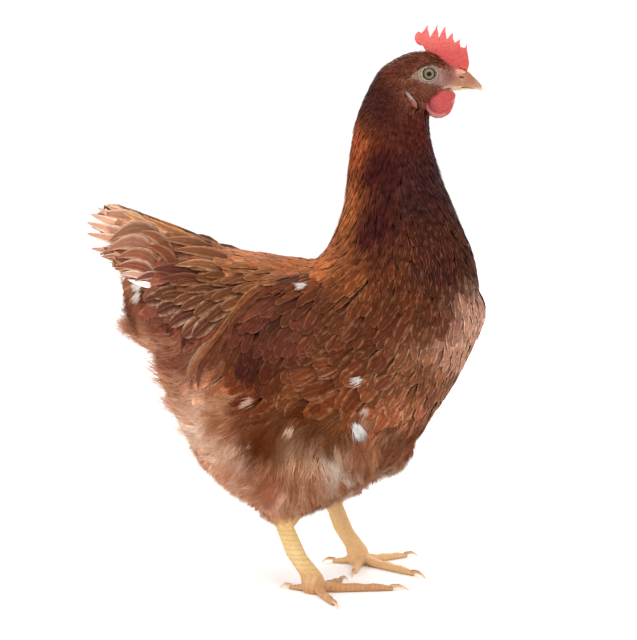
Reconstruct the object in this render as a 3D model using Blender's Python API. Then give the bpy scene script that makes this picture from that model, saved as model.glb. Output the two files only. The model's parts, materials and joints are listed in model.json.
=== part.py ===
"""A brown laying hen, standing and looking ahead: a still, life-size model.

Metres, +Z up. The hen faces +X and stands on Z = 0, with its left side at +Y. Its head is turned
a little to its left. Each named part of the body is one closed solid that reaches to the tips of
the plumage, with a hairline gap to its neighbours.
"""
import math
from typing import NamedTuple

import bmesh
import bpy
from mathutils import Matrix, Vector
from mathutils.bvhtree import BVHTree

# Driving sizes.
GAP = 0.0004               # clearance between neighbouring solids
HEAD_TURN = math.radians(20)
NECK_AXIS_X = 0.060        # the head turns about a vertical line here
NECK_TURN_LOW = 0.251      # the turn starts at this height
NECK_TURN_HIGH = 0.366     # and is complete at this one
HEAD_CUT = (0.066, 0.366)  # a point (x, z) of the cut between neck and head
HEAD_CUT_SLOPE = math.radians(-16)

EYE_CENTRE = (0.0868, 0.0106, 0.3898)
EYE_RADIUS = 0.0066

FOOT_X = 0.017             # where the toes meet, under the shank
FOOT_SPREAD = 0.052        # half the distance between the feet
HOCK = (-0.0255, 0.050, 0.091)
HOCK_STAGGER = 0.0025      # the left hock stands this much further forward, the right one back
TOE_IN = 26.0              # degrees that each middle toe points towards the other foot

# name: (degrees from the middle toe, towards the other foot; length; base radius; claw length)
TOES = {
    "middle": (0.0, 0.0590, 0.0042, 0.0125),
    "inner": (53.0, 0.0380, 0.0038, 0.0105),
    "outer": (-79.0, 0.0450, 0.0038, 0.0110),
    "hind": (146.0, 0.0235, 0.0034, 0.0085),
}


class Section(NamedTuple):
    """One slice of a soft form: its top and bottom points (x, z) and its half width."""
    top: tuple
    bottom: tuple
    half_width: float
    widest: float = 0.5    # share of the way down where the slice is widest
    side: float = 0.0      # where its middle lies along Y


TRUNK = [                  # from under the tail to the breast
    Section((-0.1430, 0.2400), (-0.1360, 0.2020), 0.0120),
    Section((-0.1250, 0.2560), (-0.1250, 0.1540), 0.0330, 0.52),
    Section((-0.0980, 0.2570), (-0.1070, 0.1170), 0.0490, 0.55),
    Section((-0.0700, 0.2540), (-0.0910, 0.0920), 0.0590, 0.57),
    Section((-0.0400, 0.2512), (-0.0600, 0.0820), 0.0640, 0.58),
    Section((-0.0080, 0.2480), (-0.0150, 0.0770), 0.0655, 0.57),
    Section((0.0250, 0.2480), (0.0300, 0.0780), 0.0650, 0.54),
    Section((0.0600, 0.2520), (0.0640, 0.0970), 0.0620, 0.51),
    Section((0.0900, 0.2500), (0.0930, 0.1345), 0.0540),
    Section((0.1120, 0.2400), (0.1120, 0.1660), 0.0420),
    Section((0.1255, 0.2280), (0.1250, 0.1930), 0.0250),
    Section((0.1310, 0.2160), (0.1310, 0.2060), 0.0070),
]

NECK_AND_HEAD = [          # nape and throat, from inside the breast to the face
    Section((-0.0480, 0.2240), (0.1200, 0.1960), 0.0550),
    Section((-0.0140, 0.2380), (0.1270, 0.2240), 0.0550),
    Section((0.0060, 0.2540), (0.1238, 0.2480), 0.0490),
    Section((0.0165, 0.2720), (0.1166, 0.2670), 0.0425),
    Section((0.0228, 0.2930), (0.1074, 0.2870), 0.0370),
    Section((0.0252, 0.3120), (0.0988, 0.3070), 0.0320),
    Section((0.0278, 0.3320), (0.0915, 0.3270), 0.0285),
    Section((0.0312, 0.3520), (0.0872, 0.3440), 0.0258),
    Section((0.0384, 0.3715), (0.0868, 0.3580), 0.0234),
    Section((0.0490, 0.3915), (0.0890, 0.3650), 0.0210),
    Section((0.0615, 0.4005), (0.0925, 0.3695), 0.0190, 0.48),
    Section((0.0715, 0.4050), (0.0960, 0.3705), 0.0174, 0.46),
    Section((0.0800, 0.4065), (0.0990, 0.3712), 0.0160, 0.44),
    Section((0.0880, 0.4055), (0.1015, 0.3718), 0.0143, 0.44),
    Section((0.0950, 0.4020), (0.1040, 0.3722), 0.0120, 0.46),
    Section((0.1025, 0.3970), (0.1070, 0.3730), 0.0094, 0.50),
    Section((0.1085, 0.3930), (0.1098, 0.3750), 0.0070, 0.55),
]

UPPER_BILL = [             # from inside the face to the hooked tip
    Section((0.1030, 0.3920), (0.1030, 0.3786), 0.0068, 0.62),
    Section((0.1100, 0.3938), (0.1095, 0.3788), 0.0066, 0.62),
    Section((0.1150, 0.3924), (0.1140, 0.3788), 0.0058, 0.62),
    Section((0.1190, 0.3886), (0.1180, 0.3786), 0.0047, 0.60),
    Section((0.1235, 0.3844), (0.1220, 0.3782), 0.0032, 0.55),
    Section((0.1262, 0.3808), (0.1252, 0.3774), 0.0016),
    Section((0.1270, 0.3782), (0.1264, 0.3770), 0.0005),
]

LOWER_BILL = [
    Section((0.1030, 0.3782), (0.1030, 0.3756), 0.0056, 0.30),
    Section((0.1100, 0.3784), (0.1095, 0.3764), 0.0052, 0.30),
    Section((0.1150, 0.3783), (0.1145, 0.3768), 0.0043, 0.30),
    Section((0.1190, 0.3779), (0.1185, 0.3769), 0.0029, 0.30),
    Section((0.1214, 0.3774), (0.1212, 0.3769), 0.0010, 0.30),
]

THIGH = [                  # from the hock up into the flank; rear and front points
    Section((-0.0200, 0.0550), (0.0000, 0.0550), 0.0100, side=0.0490),
    Section((-0.0370, 0.0660), (0.0110, 0.0630), 0.0165, side=0.0485),
    Section((-0.0570, 0.0780), (0.0340, 0.0720), 0.0210, side=0.0475),
    Section((-0.0770, 0.0920), (0.0530, 0.0830), 0.0240, side=0.0465),
    Section((-0.0880, 0.1100), (0.0640, 0.0985), 0.0260, side=0.0455),
    Section((-0.0900, 0.1300), (0.0640, 0.1200), 0.0260, side=0.0450),
    Section((-0.0820, 0.1520), (0.0520, 0.1440), 0.0240, side=0.0430),
    Section((-0.0600, 0.1680), (0.0280, 0.1620), 0.0160, side=0.0400),
]

TAIL_CORE = [              # coverts over and under the root of the tail
    Section((-0.0850, 0.2590), (-0.1000, 0.1760), 0.0300),
    Section((-0.1150, 0.2675), (-0.1280, 0.1620), 0.0270, 0.40),
    Section((-0.1400, 0.2755), (-0.1470, 0.1760), 0.0200, 0.35),
    Section((-0.1560, 0.2800), (-0.1600, 0.2030), 0.0130, 0.35),
    Section((-0.1640, 0.2800), (-0.1660, 0.2320), 0.0080, 0.40),
]
TAIL_ROOT = (-0.0980, 0.2380)
TAIL_PAIRS = 5             # long feathers on each side
TAIL_TOP_RISE = math.radians(28.8)
TAIL_STEP = math.radians(7.0)
TAIL_LENGTH = 0.101
TAIL_FEATHER_WIDTH = 0.024
TAIL_FEATHER_THICKNESS = 0.0030

# Wing edges in side view: (x, z) where the front and rear edges start and end.
WING_FRONT = ((0.0480, 0.1740), (0.0400, 0.2420))
WING_REAR = ((-0.0800, 0.1520), (-0.1200, 0.2180))
WING_TOP_BULGE = 0.0080
WING_SHOULDER_BULGE = 0.0120
WING_CORNER_RISE = 0.0200  # the lower front corner is rounded off by this much
WING_THICKNESS = 0.0090
WING_EDGE = 0.0012
WING_OVERLAP = 0.0057      # how far its inner face starts inside the flank, before the cut
WING_SCALLOPS = 6          # rounded tips of the long feathers along the rear edge
WING_SCALLOP_DEPTH = 0.0040

COMB_SPIKES = 6
COMB_FOOT, COMB_TOP = 0.391, 0.427             # heights
COMB_FOOT_THICKNESS, COMB_TOP_THICKNESS = 0.0046, 0.0018


def clear_scene():
    for old in list(bpy.data.objects):
        bpy.data.objects.remove(old, do_unlink=True)


def collection(name):
    made = bpy.data.collections.new(name)
    bpy.context.scene.collection.children.link(made)
    return made


def material(name, colour, roughness=0.7):
    made = bpy.data.materials.new(name)
    made.use_nodes = True
    shader = made.node_tree.nodes["Principled BSDF"]
    shader.inputs["Base Color"].default_value = (*colour, 1.0)
    shader.inputs["Roughness"].default_value = roughness
    made.diffuse_color = (*colour, 1.0)
    return made


def object_from(bm, name, group, finish=None, parent=None):
    """Turns the mesh under construction into a named object with its faces pointing out."""
    bmesh.ops.recalc_face_normals(bm, faces=bm.faces)
    mesh = bpy.data.meshes.new(name)
    bm.to_mesh(mesh)
    bm.free()
    made = bpy.data.objects.new(name, mesh)
    group.objects.link(made)
    if finish:
        mesh.materials.append(finish)
        mesh.shade_smooth()
    else:
        made.hide_render = True
        made.display_type = "WIRE"
    made.parent = parent
    return made


def cut(target, *cutters):
    for cutter in cutters:
        modifier = target.modifiers.new("clear_of_" + cutter.name, "BOOLEAN")
        modifier.object = cutter
        modifier.operation = "DIFFERENCE"


def join(target, *others):
    for other in others:
        modifier = target.modifiers.new("with_" + other.name, "BOOLEAN")
        modifier.object = other
        modifier.operation = "UNION"


def between(a, b, t):
    return tuple(p + (q - p) * t for p, q in zip(a, b))


def flat(section):
    """The numbers of a section in one row, so that they can be blended."""
    return (*section.top, *section.bottom, section.half_width, section.widest, section.side)


def smooth_sections(sections, steps):
    """Sections on a Catmull-Rom curve through the given ones, steps to each span."""
    rows = [flat(s) for s in sections]
    made = []
    for i in range(len(rows) - 1):
        before, a, b, after = (rows[max(i - 1, 0)], rows[i], rows[i + 1],
                               rows[min(i + 2, len(rows) - 1)])
        for k in range(steps + (i == len(rows) - 2)):
            t = k / steps
            made.append([
                0.5 * (2 * q + (r - p) * t + (2 * p - 5 * q + 4 * r - s) * t * t
                       + (3 * q - p - 3 * r + s) * t ** 3)
                for p, q, r, s in zip(before, a, b, after)
            ])
    return [Section((r[0], r[1]), (r[2], r[3]), r[4], r[5], r[6]) for r in made]


def ring_of(section, sides):
    """Points of one slice: two half ellipses that meet where it is widest."""
    top, bottom = Vector(section.top), Vector(section.bottom)
    points = []
    for k in range(sides):
        c, s = math.cos(math.tau * k / sides), math.sin(math.tau * k / sides)
        reach = section.widest if c > 0 else 1 - section.widest
        x, z = top.lerp(bottom, section.widest - reach * c)
        points.append(Vector((x, section.side + s * section.half_width, z)))
    return points


def skin_over(rings):
    """A closed form over rings of points, with a flat cap at each end."""
    bm = bmesh.new()
    rows = [[bm.verts.new(point) for point in ring] for ring in rings]
    sides = len(rows[0])
    for a, b in zip(rows, rows[1:]):
        for k in range(sides):
            bm.faces.new((a[k], a[(k + 1) % sides], b[(k + 1) % sides], b[k]))
    bm.faces.new(reversed(rows[0]))
    bm.faces.new(rows[-1])
    return bm


def loft(sections, sides, steps):
    return skin_over([ring_of(s, sides) for s in smooth_sections(sections, steps)])


def room(bm):
    """The same form, larger by the clearance on every side: it cuts a neighbour's seat."""
    bmesh.ops.recalc_face_normals(bm, faces=bm.faces)
    moved = [(vert, vert.co + vert.normal * GAP) for vert in bm.verts]
    for vert, place in moved:
        vert.co = place
    return bm


def mirrored(bm):
    bmesh.ops.scale(bm, vec=(1, -1, 1), verts=bm.verts)
    return bm


def turn_neck(bm):
    """Turns the neck gradually about its own upright axis, until the head has its full turn."""
    for vert in bm.verts:
        share = (vert.co.z - NECK_TURN_LOW) / (NECK_TURN_HIGH - NECK_TURN_LOW)
        share = min(1.0, max(0.0, share))
        angle = HEAD_TURN * share * share * (3 - 2 * share)
        x, y = vert.co.x - NECK_AXIS_X, vert.co.y
        vert.co.x = NECK_AXIS_X + x * math.cos(angle) - y * math.sin(angle)
        vert.co.y = x * math.sin(angle) + y * math.cos(angle)
    return bm


def neck_and_head():
    return turn_neck(loft(NECK_AND_HEAD, 18, 2))


def keep_side(bm, point, normal):
    """Keeps what lies on the far side of a plane from its normal, and closes the cut."""
    made = bmesh.ops.bisect_plane(
        bm, geom=bm.verts[:] + bm.edges[:] + bm.faces[:], plane_co=point, plane_no=normal,
        clear_outer=True)
    rim = [e for e in made["geom_cut"] if isinstance(e, bmesh.types.BMEdge)]
    bmesh.ops.contextual_create(bm, geom=rim)
    return bm


def build_neck_and_head(group, finishes):
    """Parts the two with a thin slanting cut behind the ears."""
    point = Vector((HEAD_CUT[0], 0, HEAD_CUT[1]))
    slope, turn = HEAD_CUT_SLOPE, HEAD_TURN
    up = Vector((math.sin(slope) * math.cos(turn), math.sin(slope) * math.sin(turn),
                 math.cos(slope)))
    neck = object_from(keep_side(neck_and_head(), point - up * GAP / 2, up), "neck", group,
                       finishes["hackle"])
    head = object_from(keep_side(neck_and_head(), point + up * GAP / 2, -up), "head", group,
                       finishes["face"])
    return neck, head


def build_eyes(group, cutters, finishes, head, turned):
    """Each eyeball sits in a round socket cut in the head."""
    for name, side in (("left", 1), ("right", -1)):
        centre = Vector((EYE_CENTRE[0] - NECK_AXIS_X, side * EYE_CENTRE[1], EYE_CENTRE[2]))
        for part, radius, where, finish in (
                ("eye_" + name, EYE_RADIUS, group, finishes["eye"]),
                ("socket_" + name, EYE_RADIUS + GAP, cutters, None)):
            bm = bmesh.new()
            bmesh.ops.create_uvsphere(bm, u_segments=14, v_segments=8, radius=radius)
            made = object_from(bm, part, where, finish, turned)
            made.location = centre
            if not finish:
                cut(head, made)


def in_head_frame(bm):
    """Moves a shape from the body's frame to that of the turned head."""
    bmesh.ops.translate(bm, vec=(-NECK_AXIS_X, 0, 0), verts=bm.verts)
    return bm


def build_bill(group, cutters, finishes, turned, *clear_of):
    """Both halves of the bill. Returns the room that the upper one takes, with its clearance."""
    for name, sections in (("upper_bill", UPPER_BILL), ("lower_bill", LOWER_BILL)):
        made = object_from(in_head_frame(loft(sections, 12, 2)), name, group,
                           finishes["horn"], turned)
        cut(made, *clear_of)
    return object_from(room(in_head_frame(loft(UPPER_BILL, 12, 2))), "room_for_upper_bill",
                       cutters, parent=turned)


def comb_outline():
    """The comb in side view: a curved base, a round rear lobe and a row of spikes."""
    points = [(0.1150, 0.3910), (0.1166, 0.3970), (0.1158, 0.4025)]
    for i in range(COMB_SPIKES):
        x, tip, valley = 0.1150 - 0.0060 * i, 0.4119 + 0.0044 * i - 0.0003 * i * i, 0.4090 + 0.0022 * i
        points += [(x - 0.0003, tip - 0.0035), (x, tip), (x - 0.0012, tip - 0.0030),
                   (x - 0.0040, valley)]
    lobe, radius = (0.0816, 0.4165), 0.0058
    for degrees in range(125, 276, 30):
        a = math.radians(degrees)
        points.append((lobe[0] + radius * math.cos(a), lobe[1] + radius * math.sin(a)))
    points += [(0.0860, 0.4030), (0.0960, 0.3980), (0.1060, 0.3910)]
    return points


def build_comb(group, finishes, turned, *clear_of):
    """A fleshy blade that stands on the skull, thick at its foot and thin at the spikes."""
    bm = bmesh.new()
    outline = bm.faces.new([bm.verts.new((x - NECK_AXIS_X, -0.5, z)) for x, z in comb_outline()])
    made = bmesh.ops.extrude_face_region(bm, geom=[outline])
    far = [v for v in made["geom"] if isinstance(v, bmesh.types.BMVert)]
    bmesh.ops.translate(bm, vec=(0, 1, 0), verts=far)
    bmesh.ops.triangulate(bm, faces=bm.faces, ngon_method="EAR_CLIP")
    for vert in bm.verts:
        up = (vert.co.z - COMB_FOOT) / (COMB_TOP - COMB_FOOT)
        vert.co.y *= COMB_FOOT_THICKNESS + (COMB_TOP_THICKNESS - COMB_FOOT_THICKNESS) * up
    made = object_from(bm, "comb", group, finishes["comb"], turned)
    cut(made, *clear_of)


def build_ball(name, group, finish, parent, centre, radii, turn, sides=(12, 8)):
    """A flattened ball, such as a wattle or an earlobe."""
    bm = bmesh.new()
    bmesh.ops.create_uvsphere(bm, u_segments=sides[0], v_segments=sides[1], radius=1.0)
    bmesh.ops.scale(bm, vec=radii, verts=bm.verts)
    made = object_from(bm, name, group, finish, parent)
    made.location = centre
    made.rotation_euler = turn
    return made


def build_head_flesh(group, finishes, turned, *clear_of):
    for name, side in (("left", 1), ("right", -1)):
        wattle = build_ball(
            "wattle_" + name, group, finishes["comb"], turned,
            (0.0948 - NECK_AXIS_X, side * 0.0108, 0.3665), (0.0108, 0.0024, 0.0094),
            (side * math.radians(-10), math.radians(-28), side * math.radians(-16)))
        lobe = build_ball(
            "earlobe_" + name, group, finishes["comb"], turned,
            (0.0735 - NECK_AXIS_X, side * 0.0212, 0.3685), (0.0040, 0.0026, 0.0076),
            (side * math.radians(-8), math.radians(-32), side * math.radians(-10)), (10, 6))
        cut(wattle, *clear_of)
        cut(lobe, *clear_of)


def tail_feather(pair, side):
    """One long tail feather as a thin blade: a flattened, elongated ball about its own shaft."""
    rise = TAIL_TOP_RISE - TAIL_STEP * pair
    length = TAIL_LENGTH - 0.0016 * pair * (pair + 1)
    bm = bmesh.new()
    bmesh.ops.create_uvsphere(bm, u_segments=8, v_segments=6, radius=0.5)
    bmesh.ops.scale(bm, vec=(length, TAIL_FEATHER_THICKNESS, TAIL_FEATHER_WIDTH), verts=bm.verts)
    bmesh.ops.translate(bm, vec=(-length / 2, 0, 0), verts=bm.verts)
    splay = math.radians(2.0 + 2.6 * pair) * side
    bmesh.ops.rotate(bm, cent=(0, 0, 0), matrix=rotation_about("X", side * 0.25), verts=bm.verts)
    bmesh.ops.rotate(bm, cent=(0, 0, 0), matrix=rotation_about("Y", rise), verts=bm.verts)
    bmesh.ops.rotate(bm, cent=(0, 0, 0), matrix=rotation_about("Z", -splay), verts=bm.verts)
    start = (TAIL_ROOT[0], side * (0.0012 + 0.0016 * pair), TAIL_ROOT[1])
    bmesh.ops.translate(bm, vec=start, verts=bm.verts)
    return bm


def rotation_about(axis, angle):
    """A 3 by 3 rotation about one axis."""
    return Matrix.Rotation(angle, 3, axis)


def build_tail(group, cutters, finishes, *clear_of):
    tail = object_from(loft(TAIL_CORE, 14, 1), "tail", group, finishes["tail"])
    for pair in range(TAIL_PAIRS):
        for name, side in (("left", 1), ("right", -1)):
            join(tail, object_from(tail_feather(pair, side), f"tail_feather_{name}_{pair}",
                                   cutters))
    cut(tail, *clear_of)


def wing_point(u, v):
    """A point (x, z) of the folded wing in side view: u from shoulder to tip, v from low to high."""
    front, rear = between(*WING_FRONT, v), between(*WING_REAR, v)
    x, z = between(front, rear, u)
    arch = math.sin(math.pi * u)
    round_off = math.sin(math.pi * v)
    x += WING_SHOULDER_BULGE * round_off * (1 - u) ** 3
    z += WING_TOP_BULGE * arch * v + WING_CORNER_RISE * (1 - v) ** 2 * (1 - u) ** 4
    x += WING_SCALLOP_DEPTH * abs(math.cos(math.pi * WING_SCALLOPS * v)) * u ** 6
    return x, z


def wing(body, side, along=14, across=8):
    """A folded wing: a crowned sheet laid on the flank, thin at its rim."""
    bm = bmesh.new()
    outer, inner = [], []
    for i in range(along + 1):
        u = i / along
        outer_row, inner_row = [], []
        for j in range(across + 1):
            v = j / across
            x, z = wing_point(u, v)
            hit = body.ray_cast(Vector((x, 0.3, z)), Vector((0, -1, 0)))[0]
            flank = max(hit.y if hit else 0.0, 0.024)
            crown = math.sqrt(max(0.0, 1 - (2 * v - 1) ** 4)) * (1 - (2 * u - 0.9) ** 6 / 1.8)
            lift = WING_EDGE + (WING_THICKNESS - WING_EDGE) * max(0.0, crown)
            outer_row.append(bm.verts.new((x, side * (flank + lift), z)))
            inner_row.append(bm.verts.new((x, side * (flank - WING_OVERLAP), z)))
        outer.append(outer_row)
        inner.append(inner_row)
    for i in range(along):
        for j in range(across):
            bm.faces.new((outer[i][j], outer[i + 1][j], outer[i + 1][j + 1], outer[i][j + 1]))
            bm.faces.new((inner[i][j], inner[i][j + 1], inner[i + 1][j + 1], inner[i + 1][j]))
    rim = ([(i, 0) for i in range(along)] + [(along, j) for j in range(across)]
           + [(i, across) for i in range(along, 0, -1)] + [(0, j) for j in range(across, 0, -1)])
    for (i, j), (k, m) in zip(rim, rim[1:] + rim[:1]):
        bm.faces.new((outer[i][j], inner[i][j], inner[k][m], outer[k][m]))
    return bm


def shank(side):
    """The scaly shank, from inside the thigh down to the round pad that it stands on."""
    foot = (FOOT_X - 0.0035, FOOT_SPREAD)
    slices = []
    # share of the way up to the hock, half depth, half width
    for up, deep, wide in ((0.30, 0.0082, 0.0058), (0.55, 0.0074, 0.0054), (0.80, 0.0076, 0.0056),
                           (1.00, 0.0082, 0.0062)):
        x, y = between(foot, (HOCK[0] + HOCK_STAGGER * side, HOCK[1]), up)
        z = HOCK[2] * up
        slices.append(Section((x - deep, z), (x + deep, z), wide, side=y))
    x, y = foot
    slices = [
        Section((x - 0.0060, 0.0000), (x + 0.0100, 0.0000), 0.0080, side=y),
        Section((x - 0.0072, 0.0045), (x + 0.0116, 0.0045), 0.0096, side=y),
        Section((x - 0.0090, 0.0130), (x + 0.0086, 0.0130), 0.0072, side=y),
    ] + slices
    bm = loft(slices, 14, 1)
    return bm if side > 0 else mirrored(bm)


def along_line(start, direction, stations, sides):
    """A tapering limb, flat where it meets the floor: (distance, height, radius) stations."""
    ahead = Vector((math.cos(direction), math.sin(direction), 0))
    across = Vector((-ahead.y, ahead.x, 0))
    up = Vector((0, 0, 1))
    rings = []
    for distance, height, radius in stations:
        middle = start + ahead * distance + up * height
        ring = []
        for k in range(sides):
            a = math.tau * k / sides
            point = middle + (across * math.cos(a) + up * math.sin(a)) * radius
            point.z = max(point.z, 0.0)
            ring.append(point)
        rings.append(ring)
    return skin_over(rings)


def toe_stations(name):
    """A toe: it leaves the foot high, and swells at each joint over a flat sole."""
    _, length, radius, _ = TOES[name]
    base = 0.0080 if name == "hind" else 0.0058
    made = [(0.0000, base + 0.0020, radius * 0.84)]
    joints = 2 if name == "hind" else 4
    count = joints * 2
    for k in range(1, count + 1):
        share = k / count
        swell = 1.07 if k % 2 == 0 and k < count else 0.93
        size = radius * (1 - 0.36 * share) * swell * (0.72 if k == count else 1.0)
        made.append((length * share, max(size * 0.86, base * (1 - share * 1.6)), size))
    return made


def claw_stations(name):
    """A claw: thick where it leaves the toe, arched, with the underside of its point on the floor."""
    _, length, radius, claw = TOES[name]
    thick = radius * 0.46
    arch = ((-0.0030, 0.0030, 0.92), (0.0000, 0.0034, 1.0), (0.35, 0.0036, 0.84), (0.70, 0.0022, 0.56),
            (0.92, 0.0004, 0.32), (1.00, 0.0001, 0.12))
    return [(length + (d if d <= 0 else d * claw), h, thick * r) for d, h, r in arch]


def thigh(side):
    bm = loft(THIGH, 16, 1)
    return bm if side > 0 else mirrored(bm)


def build_leg(side, name, group, cutters, finishes, *clear_of):
    """Thigh, shank, toes and claws, each cut clear of the piece that it grows from."""
    cut(object_from(thigh(side), "thigh_" + name, group, finishes["fluff"]), *clear_of)
    thigh_room = object_from(room(thigh(side)), "room_for_thigh_" + name, cutters)
    cut(object_from(shank(side), "shank_" + name, group, finishes["scale"]), thigh_room)
    shank_room = object_from(room(shank(side)), "room_for_shank_" + name, cutters)
    start = Vector((FOOT_X, side * FOOT_SPREAD, 0))
    for toe, (turn, *_) in TOES.items():
        heading = -side * math.radians(TOE_IN + turn)
        piece = object_from(along_line(start, heading, toe_stations(toe), 10),
                            f"toe_{toe}_{name}", group, finishes["scale"])
        cut(piece, shank_room)
        toe_room = object_from(room(along_line(start, heading, toe_stations(toe), 10)),
                               f"room_for_toe_{toe}_{name}", cutters)
        claw = object_from(along_line(start, heading, claw_stations(toe), 6),
                           f"claw_{toe}_{name}", group, finishes["horn"])
        cut(claw, toe_room)


def stand_at_origin(group, cutters):
    """Centres the hen over the origin, with the flats of its feet on Z = 0."""
    bpy.context.view_layer.update()
    graph = bpy.context.evaluated_depsgraph_get()
    corners = []
    for part in group.objects:
        if part.type == "MESH":
            solid = part.evaluated_get(graph)
            corners += [solid.matrix_world @ Vector(c) for c in solid.bound_box]
    middle = [(min(c[i] for c in corners) + max(c[i] for c in corners)) / 2 for i in (0, 1)]
    ground = min(c.z for c in corners)
    stance = bpy.data.objects.new("hen_stance", None)
    group.objects.link(stance)
    for part in list(group.objects) + list(cutters.objects):
        if part is not stance and part.parent is None:
            part.parent = stance
    stance.location = (-middle[0], -middle[1], -ground)


def main():
    clear_scene()
    group, cutters = collection("hen"), collection("cutters")
    finishes = {
        "plumage": material("contour_feathers", (0.27, 0.095, 0.040)),
        "hackle": material("hackle_feathers", (0.16, 0.035, 0.012), 0.5),
        "fluff": material("body_fluff", (0.36, 0.150, 0.065), 0.9),
        "tail": material("tail_feathers", (0.48, 0.240, 0.120)),
        "wing": material("wing_feathers", (0.24, 0.085, 0.038)),
        "face": material("bare_face", (0.36, 0.170, 0.130), 0.6),
        "comb": material("comb_flesh", (0.78, 0.085, 0.060), 0.5),
        "horn": material("bill_horn", (0.62, 0.380, 0.210), 0.4),
        "scale": material("shank_scales", (0.76, 0.500, 0.160), 0.5),
        "eye": material("eyeball", (0.30, 0.270, 0.170), 0.1),
    }
    turned = bpy.data.objects.new("head_turn", None)
    group.objects.link(turned)
    turned.location = (NECK_AXIS_X, 0, 0)
    turned.rotation_euler = (0, 0, HEAD_TURN)

    object_from(loft(TRUNK, 22, 2), "trunk", group, finishes["plumage"])
    trunk_room = object_from(room(loft(TRUNK, 22, 2)), "room_for_trunk", cutters)
    head_room = object_from(room(neck_and_head()), "room_for_head", cutters)
    neck, head = build_neck_and_head(group, finishes)
    cut(neck, trunk_room)
    build_eyes(group, cutters, finishes, head, turned)
    bill_room = build_bill(group, cutters, finishes, turned, head_room)
    build_comb(group, finishes, turned, head_room, bill_room)
    build_head_flesh(group, finishes, turned, head_room)
    build_tail(group, cutters, finishes, trunk_room)
    body = BVHTree.FromBMesh(loft(TRUNK, 22, 2))
    for name, side in (("left", 1), ("right", -1)):
        made = object_from(wing(body, side), "wing_" + name, group, finishes["wing"])
        cut(made, head_room, trunk_room)
        wing_room = object_from(room(wing(body, side)), "room_for_wing_" + name, cutters)
        build_leg(side, name, group, cutters, finishes, trunk_room, wing_room)
    stand_at_origin(group, cutters)


main()
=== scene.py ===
# %% [markdown]
# # A brown hen, feather by feather
#
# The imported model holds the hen's solids: trunk, neck, head, wings, thighs, feet and so on, at their
# true sizes. This script gives them their looks. One continuous skin is drawn inside the solids, and
# some thousands of real mesh feathers are laid over it, each one a thin closed vane. Eyes, bill and
# claws stay pieces of their own, as they are on a bird.

# %% The frame
import json
import math
from typing import NamedTuple

import bmesh
import bpy
import numpy as np
from mathutils import Matrix, Vector, noise
from mathutils.bvhtree import BVHTree

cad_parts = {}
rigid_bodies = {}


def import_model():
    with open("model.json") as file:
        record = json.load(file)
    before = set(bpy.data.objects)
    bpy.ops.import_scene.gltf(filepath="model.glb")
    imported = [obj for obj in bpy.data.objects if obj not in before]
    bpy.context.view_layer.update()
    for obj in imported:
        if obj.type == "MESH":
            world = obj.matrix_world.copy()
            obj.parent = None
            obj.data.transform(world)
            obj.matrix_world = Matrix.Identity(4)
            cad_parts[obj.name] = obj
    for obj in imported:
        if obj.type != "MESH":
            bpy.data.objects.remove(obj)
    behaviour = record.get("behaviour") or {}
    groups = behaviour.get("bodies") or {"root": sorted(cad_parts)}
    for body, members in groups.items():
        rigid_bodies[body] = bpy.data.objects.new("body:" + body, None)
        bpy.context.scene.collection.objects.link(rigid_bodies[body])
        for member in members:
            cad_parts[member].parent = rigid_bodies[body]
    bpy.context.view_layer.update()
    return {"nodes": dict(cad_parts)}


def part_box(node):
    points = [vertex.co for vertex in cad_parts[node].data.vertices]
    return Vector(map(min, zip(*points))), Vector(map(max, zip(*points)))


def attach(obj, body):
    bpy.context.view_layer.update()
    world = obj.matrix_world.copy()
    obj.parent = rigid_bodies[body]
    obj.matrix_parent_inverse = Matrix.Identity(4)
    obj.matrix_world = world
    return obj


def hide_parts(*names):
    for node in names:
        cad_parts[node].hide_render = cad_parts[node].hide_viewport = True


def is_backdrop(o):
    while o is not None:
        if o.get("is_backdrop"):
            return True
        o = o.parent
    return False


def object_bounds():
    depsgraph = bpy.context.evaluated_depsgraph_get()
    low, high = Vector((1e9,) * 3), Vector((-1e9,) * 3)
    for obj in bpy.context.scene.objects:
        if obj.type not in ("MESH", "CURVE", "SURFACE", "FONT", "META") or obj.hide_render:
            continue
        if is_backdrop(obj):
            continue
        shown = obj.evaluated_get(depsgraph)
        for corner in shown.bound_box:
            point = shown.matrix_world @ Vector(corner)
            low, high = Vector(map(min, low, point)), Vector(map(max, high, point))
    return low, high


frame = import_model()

MM = 0.001
random = np.random.default_rng(17)

# %% [markdown]
# ## Small helpers
#
# Colours are picked as they look on a screen (sRGB hex), while Blender mixes light in linear numbers,
# so one function turns the one into the other. Another adds a shader node with its settings and links.


# %% Colour and nodes
def colour(hex_code):
    """The linear RGBA of an sRGB hex colour."""
    parts = [int(hex_code[i:i + 2], 16) / 255 for i in (1, 3, 5)]
    return (*[p / 12.92 if p <= 0.04045 else ((p + 0.055) / 1.055) ** 2.4 for p in parts], 1.0)


def add(material, kind, inputs=None, **settings):
    """Adds a node. Each input is a value, the output of another node, or a node for its first output."""
    made = material.node_tree.nodes.new("ShaderNode" + kind)
    for name, value in settings.items():
        setattr(made, name, value)
    for name, value in (inputs or {}).items():
        if isinstance(value, bpy.types.Node):
            value = value.outputs[0]
        if isinstance(value, bpy.types.NodeSocket):
            material.node_tree.links.new(value, made.inputs[name])
        else:
            made.inputs[name].default_value = value
    return made


def new_material(name, inputs=None):
    """A material and its principled shader, with some inputs set, already linked to the output."""
    material = bpy.data.materials.new(name)
    material.use_nodes = True
    material.node_tree.nodes.clear()
    shader = add(material, "BsdfPrincipled", inputs)
    add(material, "OutputMaterial", {"Surface": shader.outputs[0]})
    return material, shader


def link(material, node, socket):
    """Links the first output of a node to a socket of another."""
    material.node_tree.links.new(node.outputs[0], socket)


# %% [markdown]
# ## Floor, light and camera
#
# The hen stands on a pale studio floor under large soft lights, with a bright surround that wraps
# light round the outline of the plumage. The camera looks at its right side from a little ahead.

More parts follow.
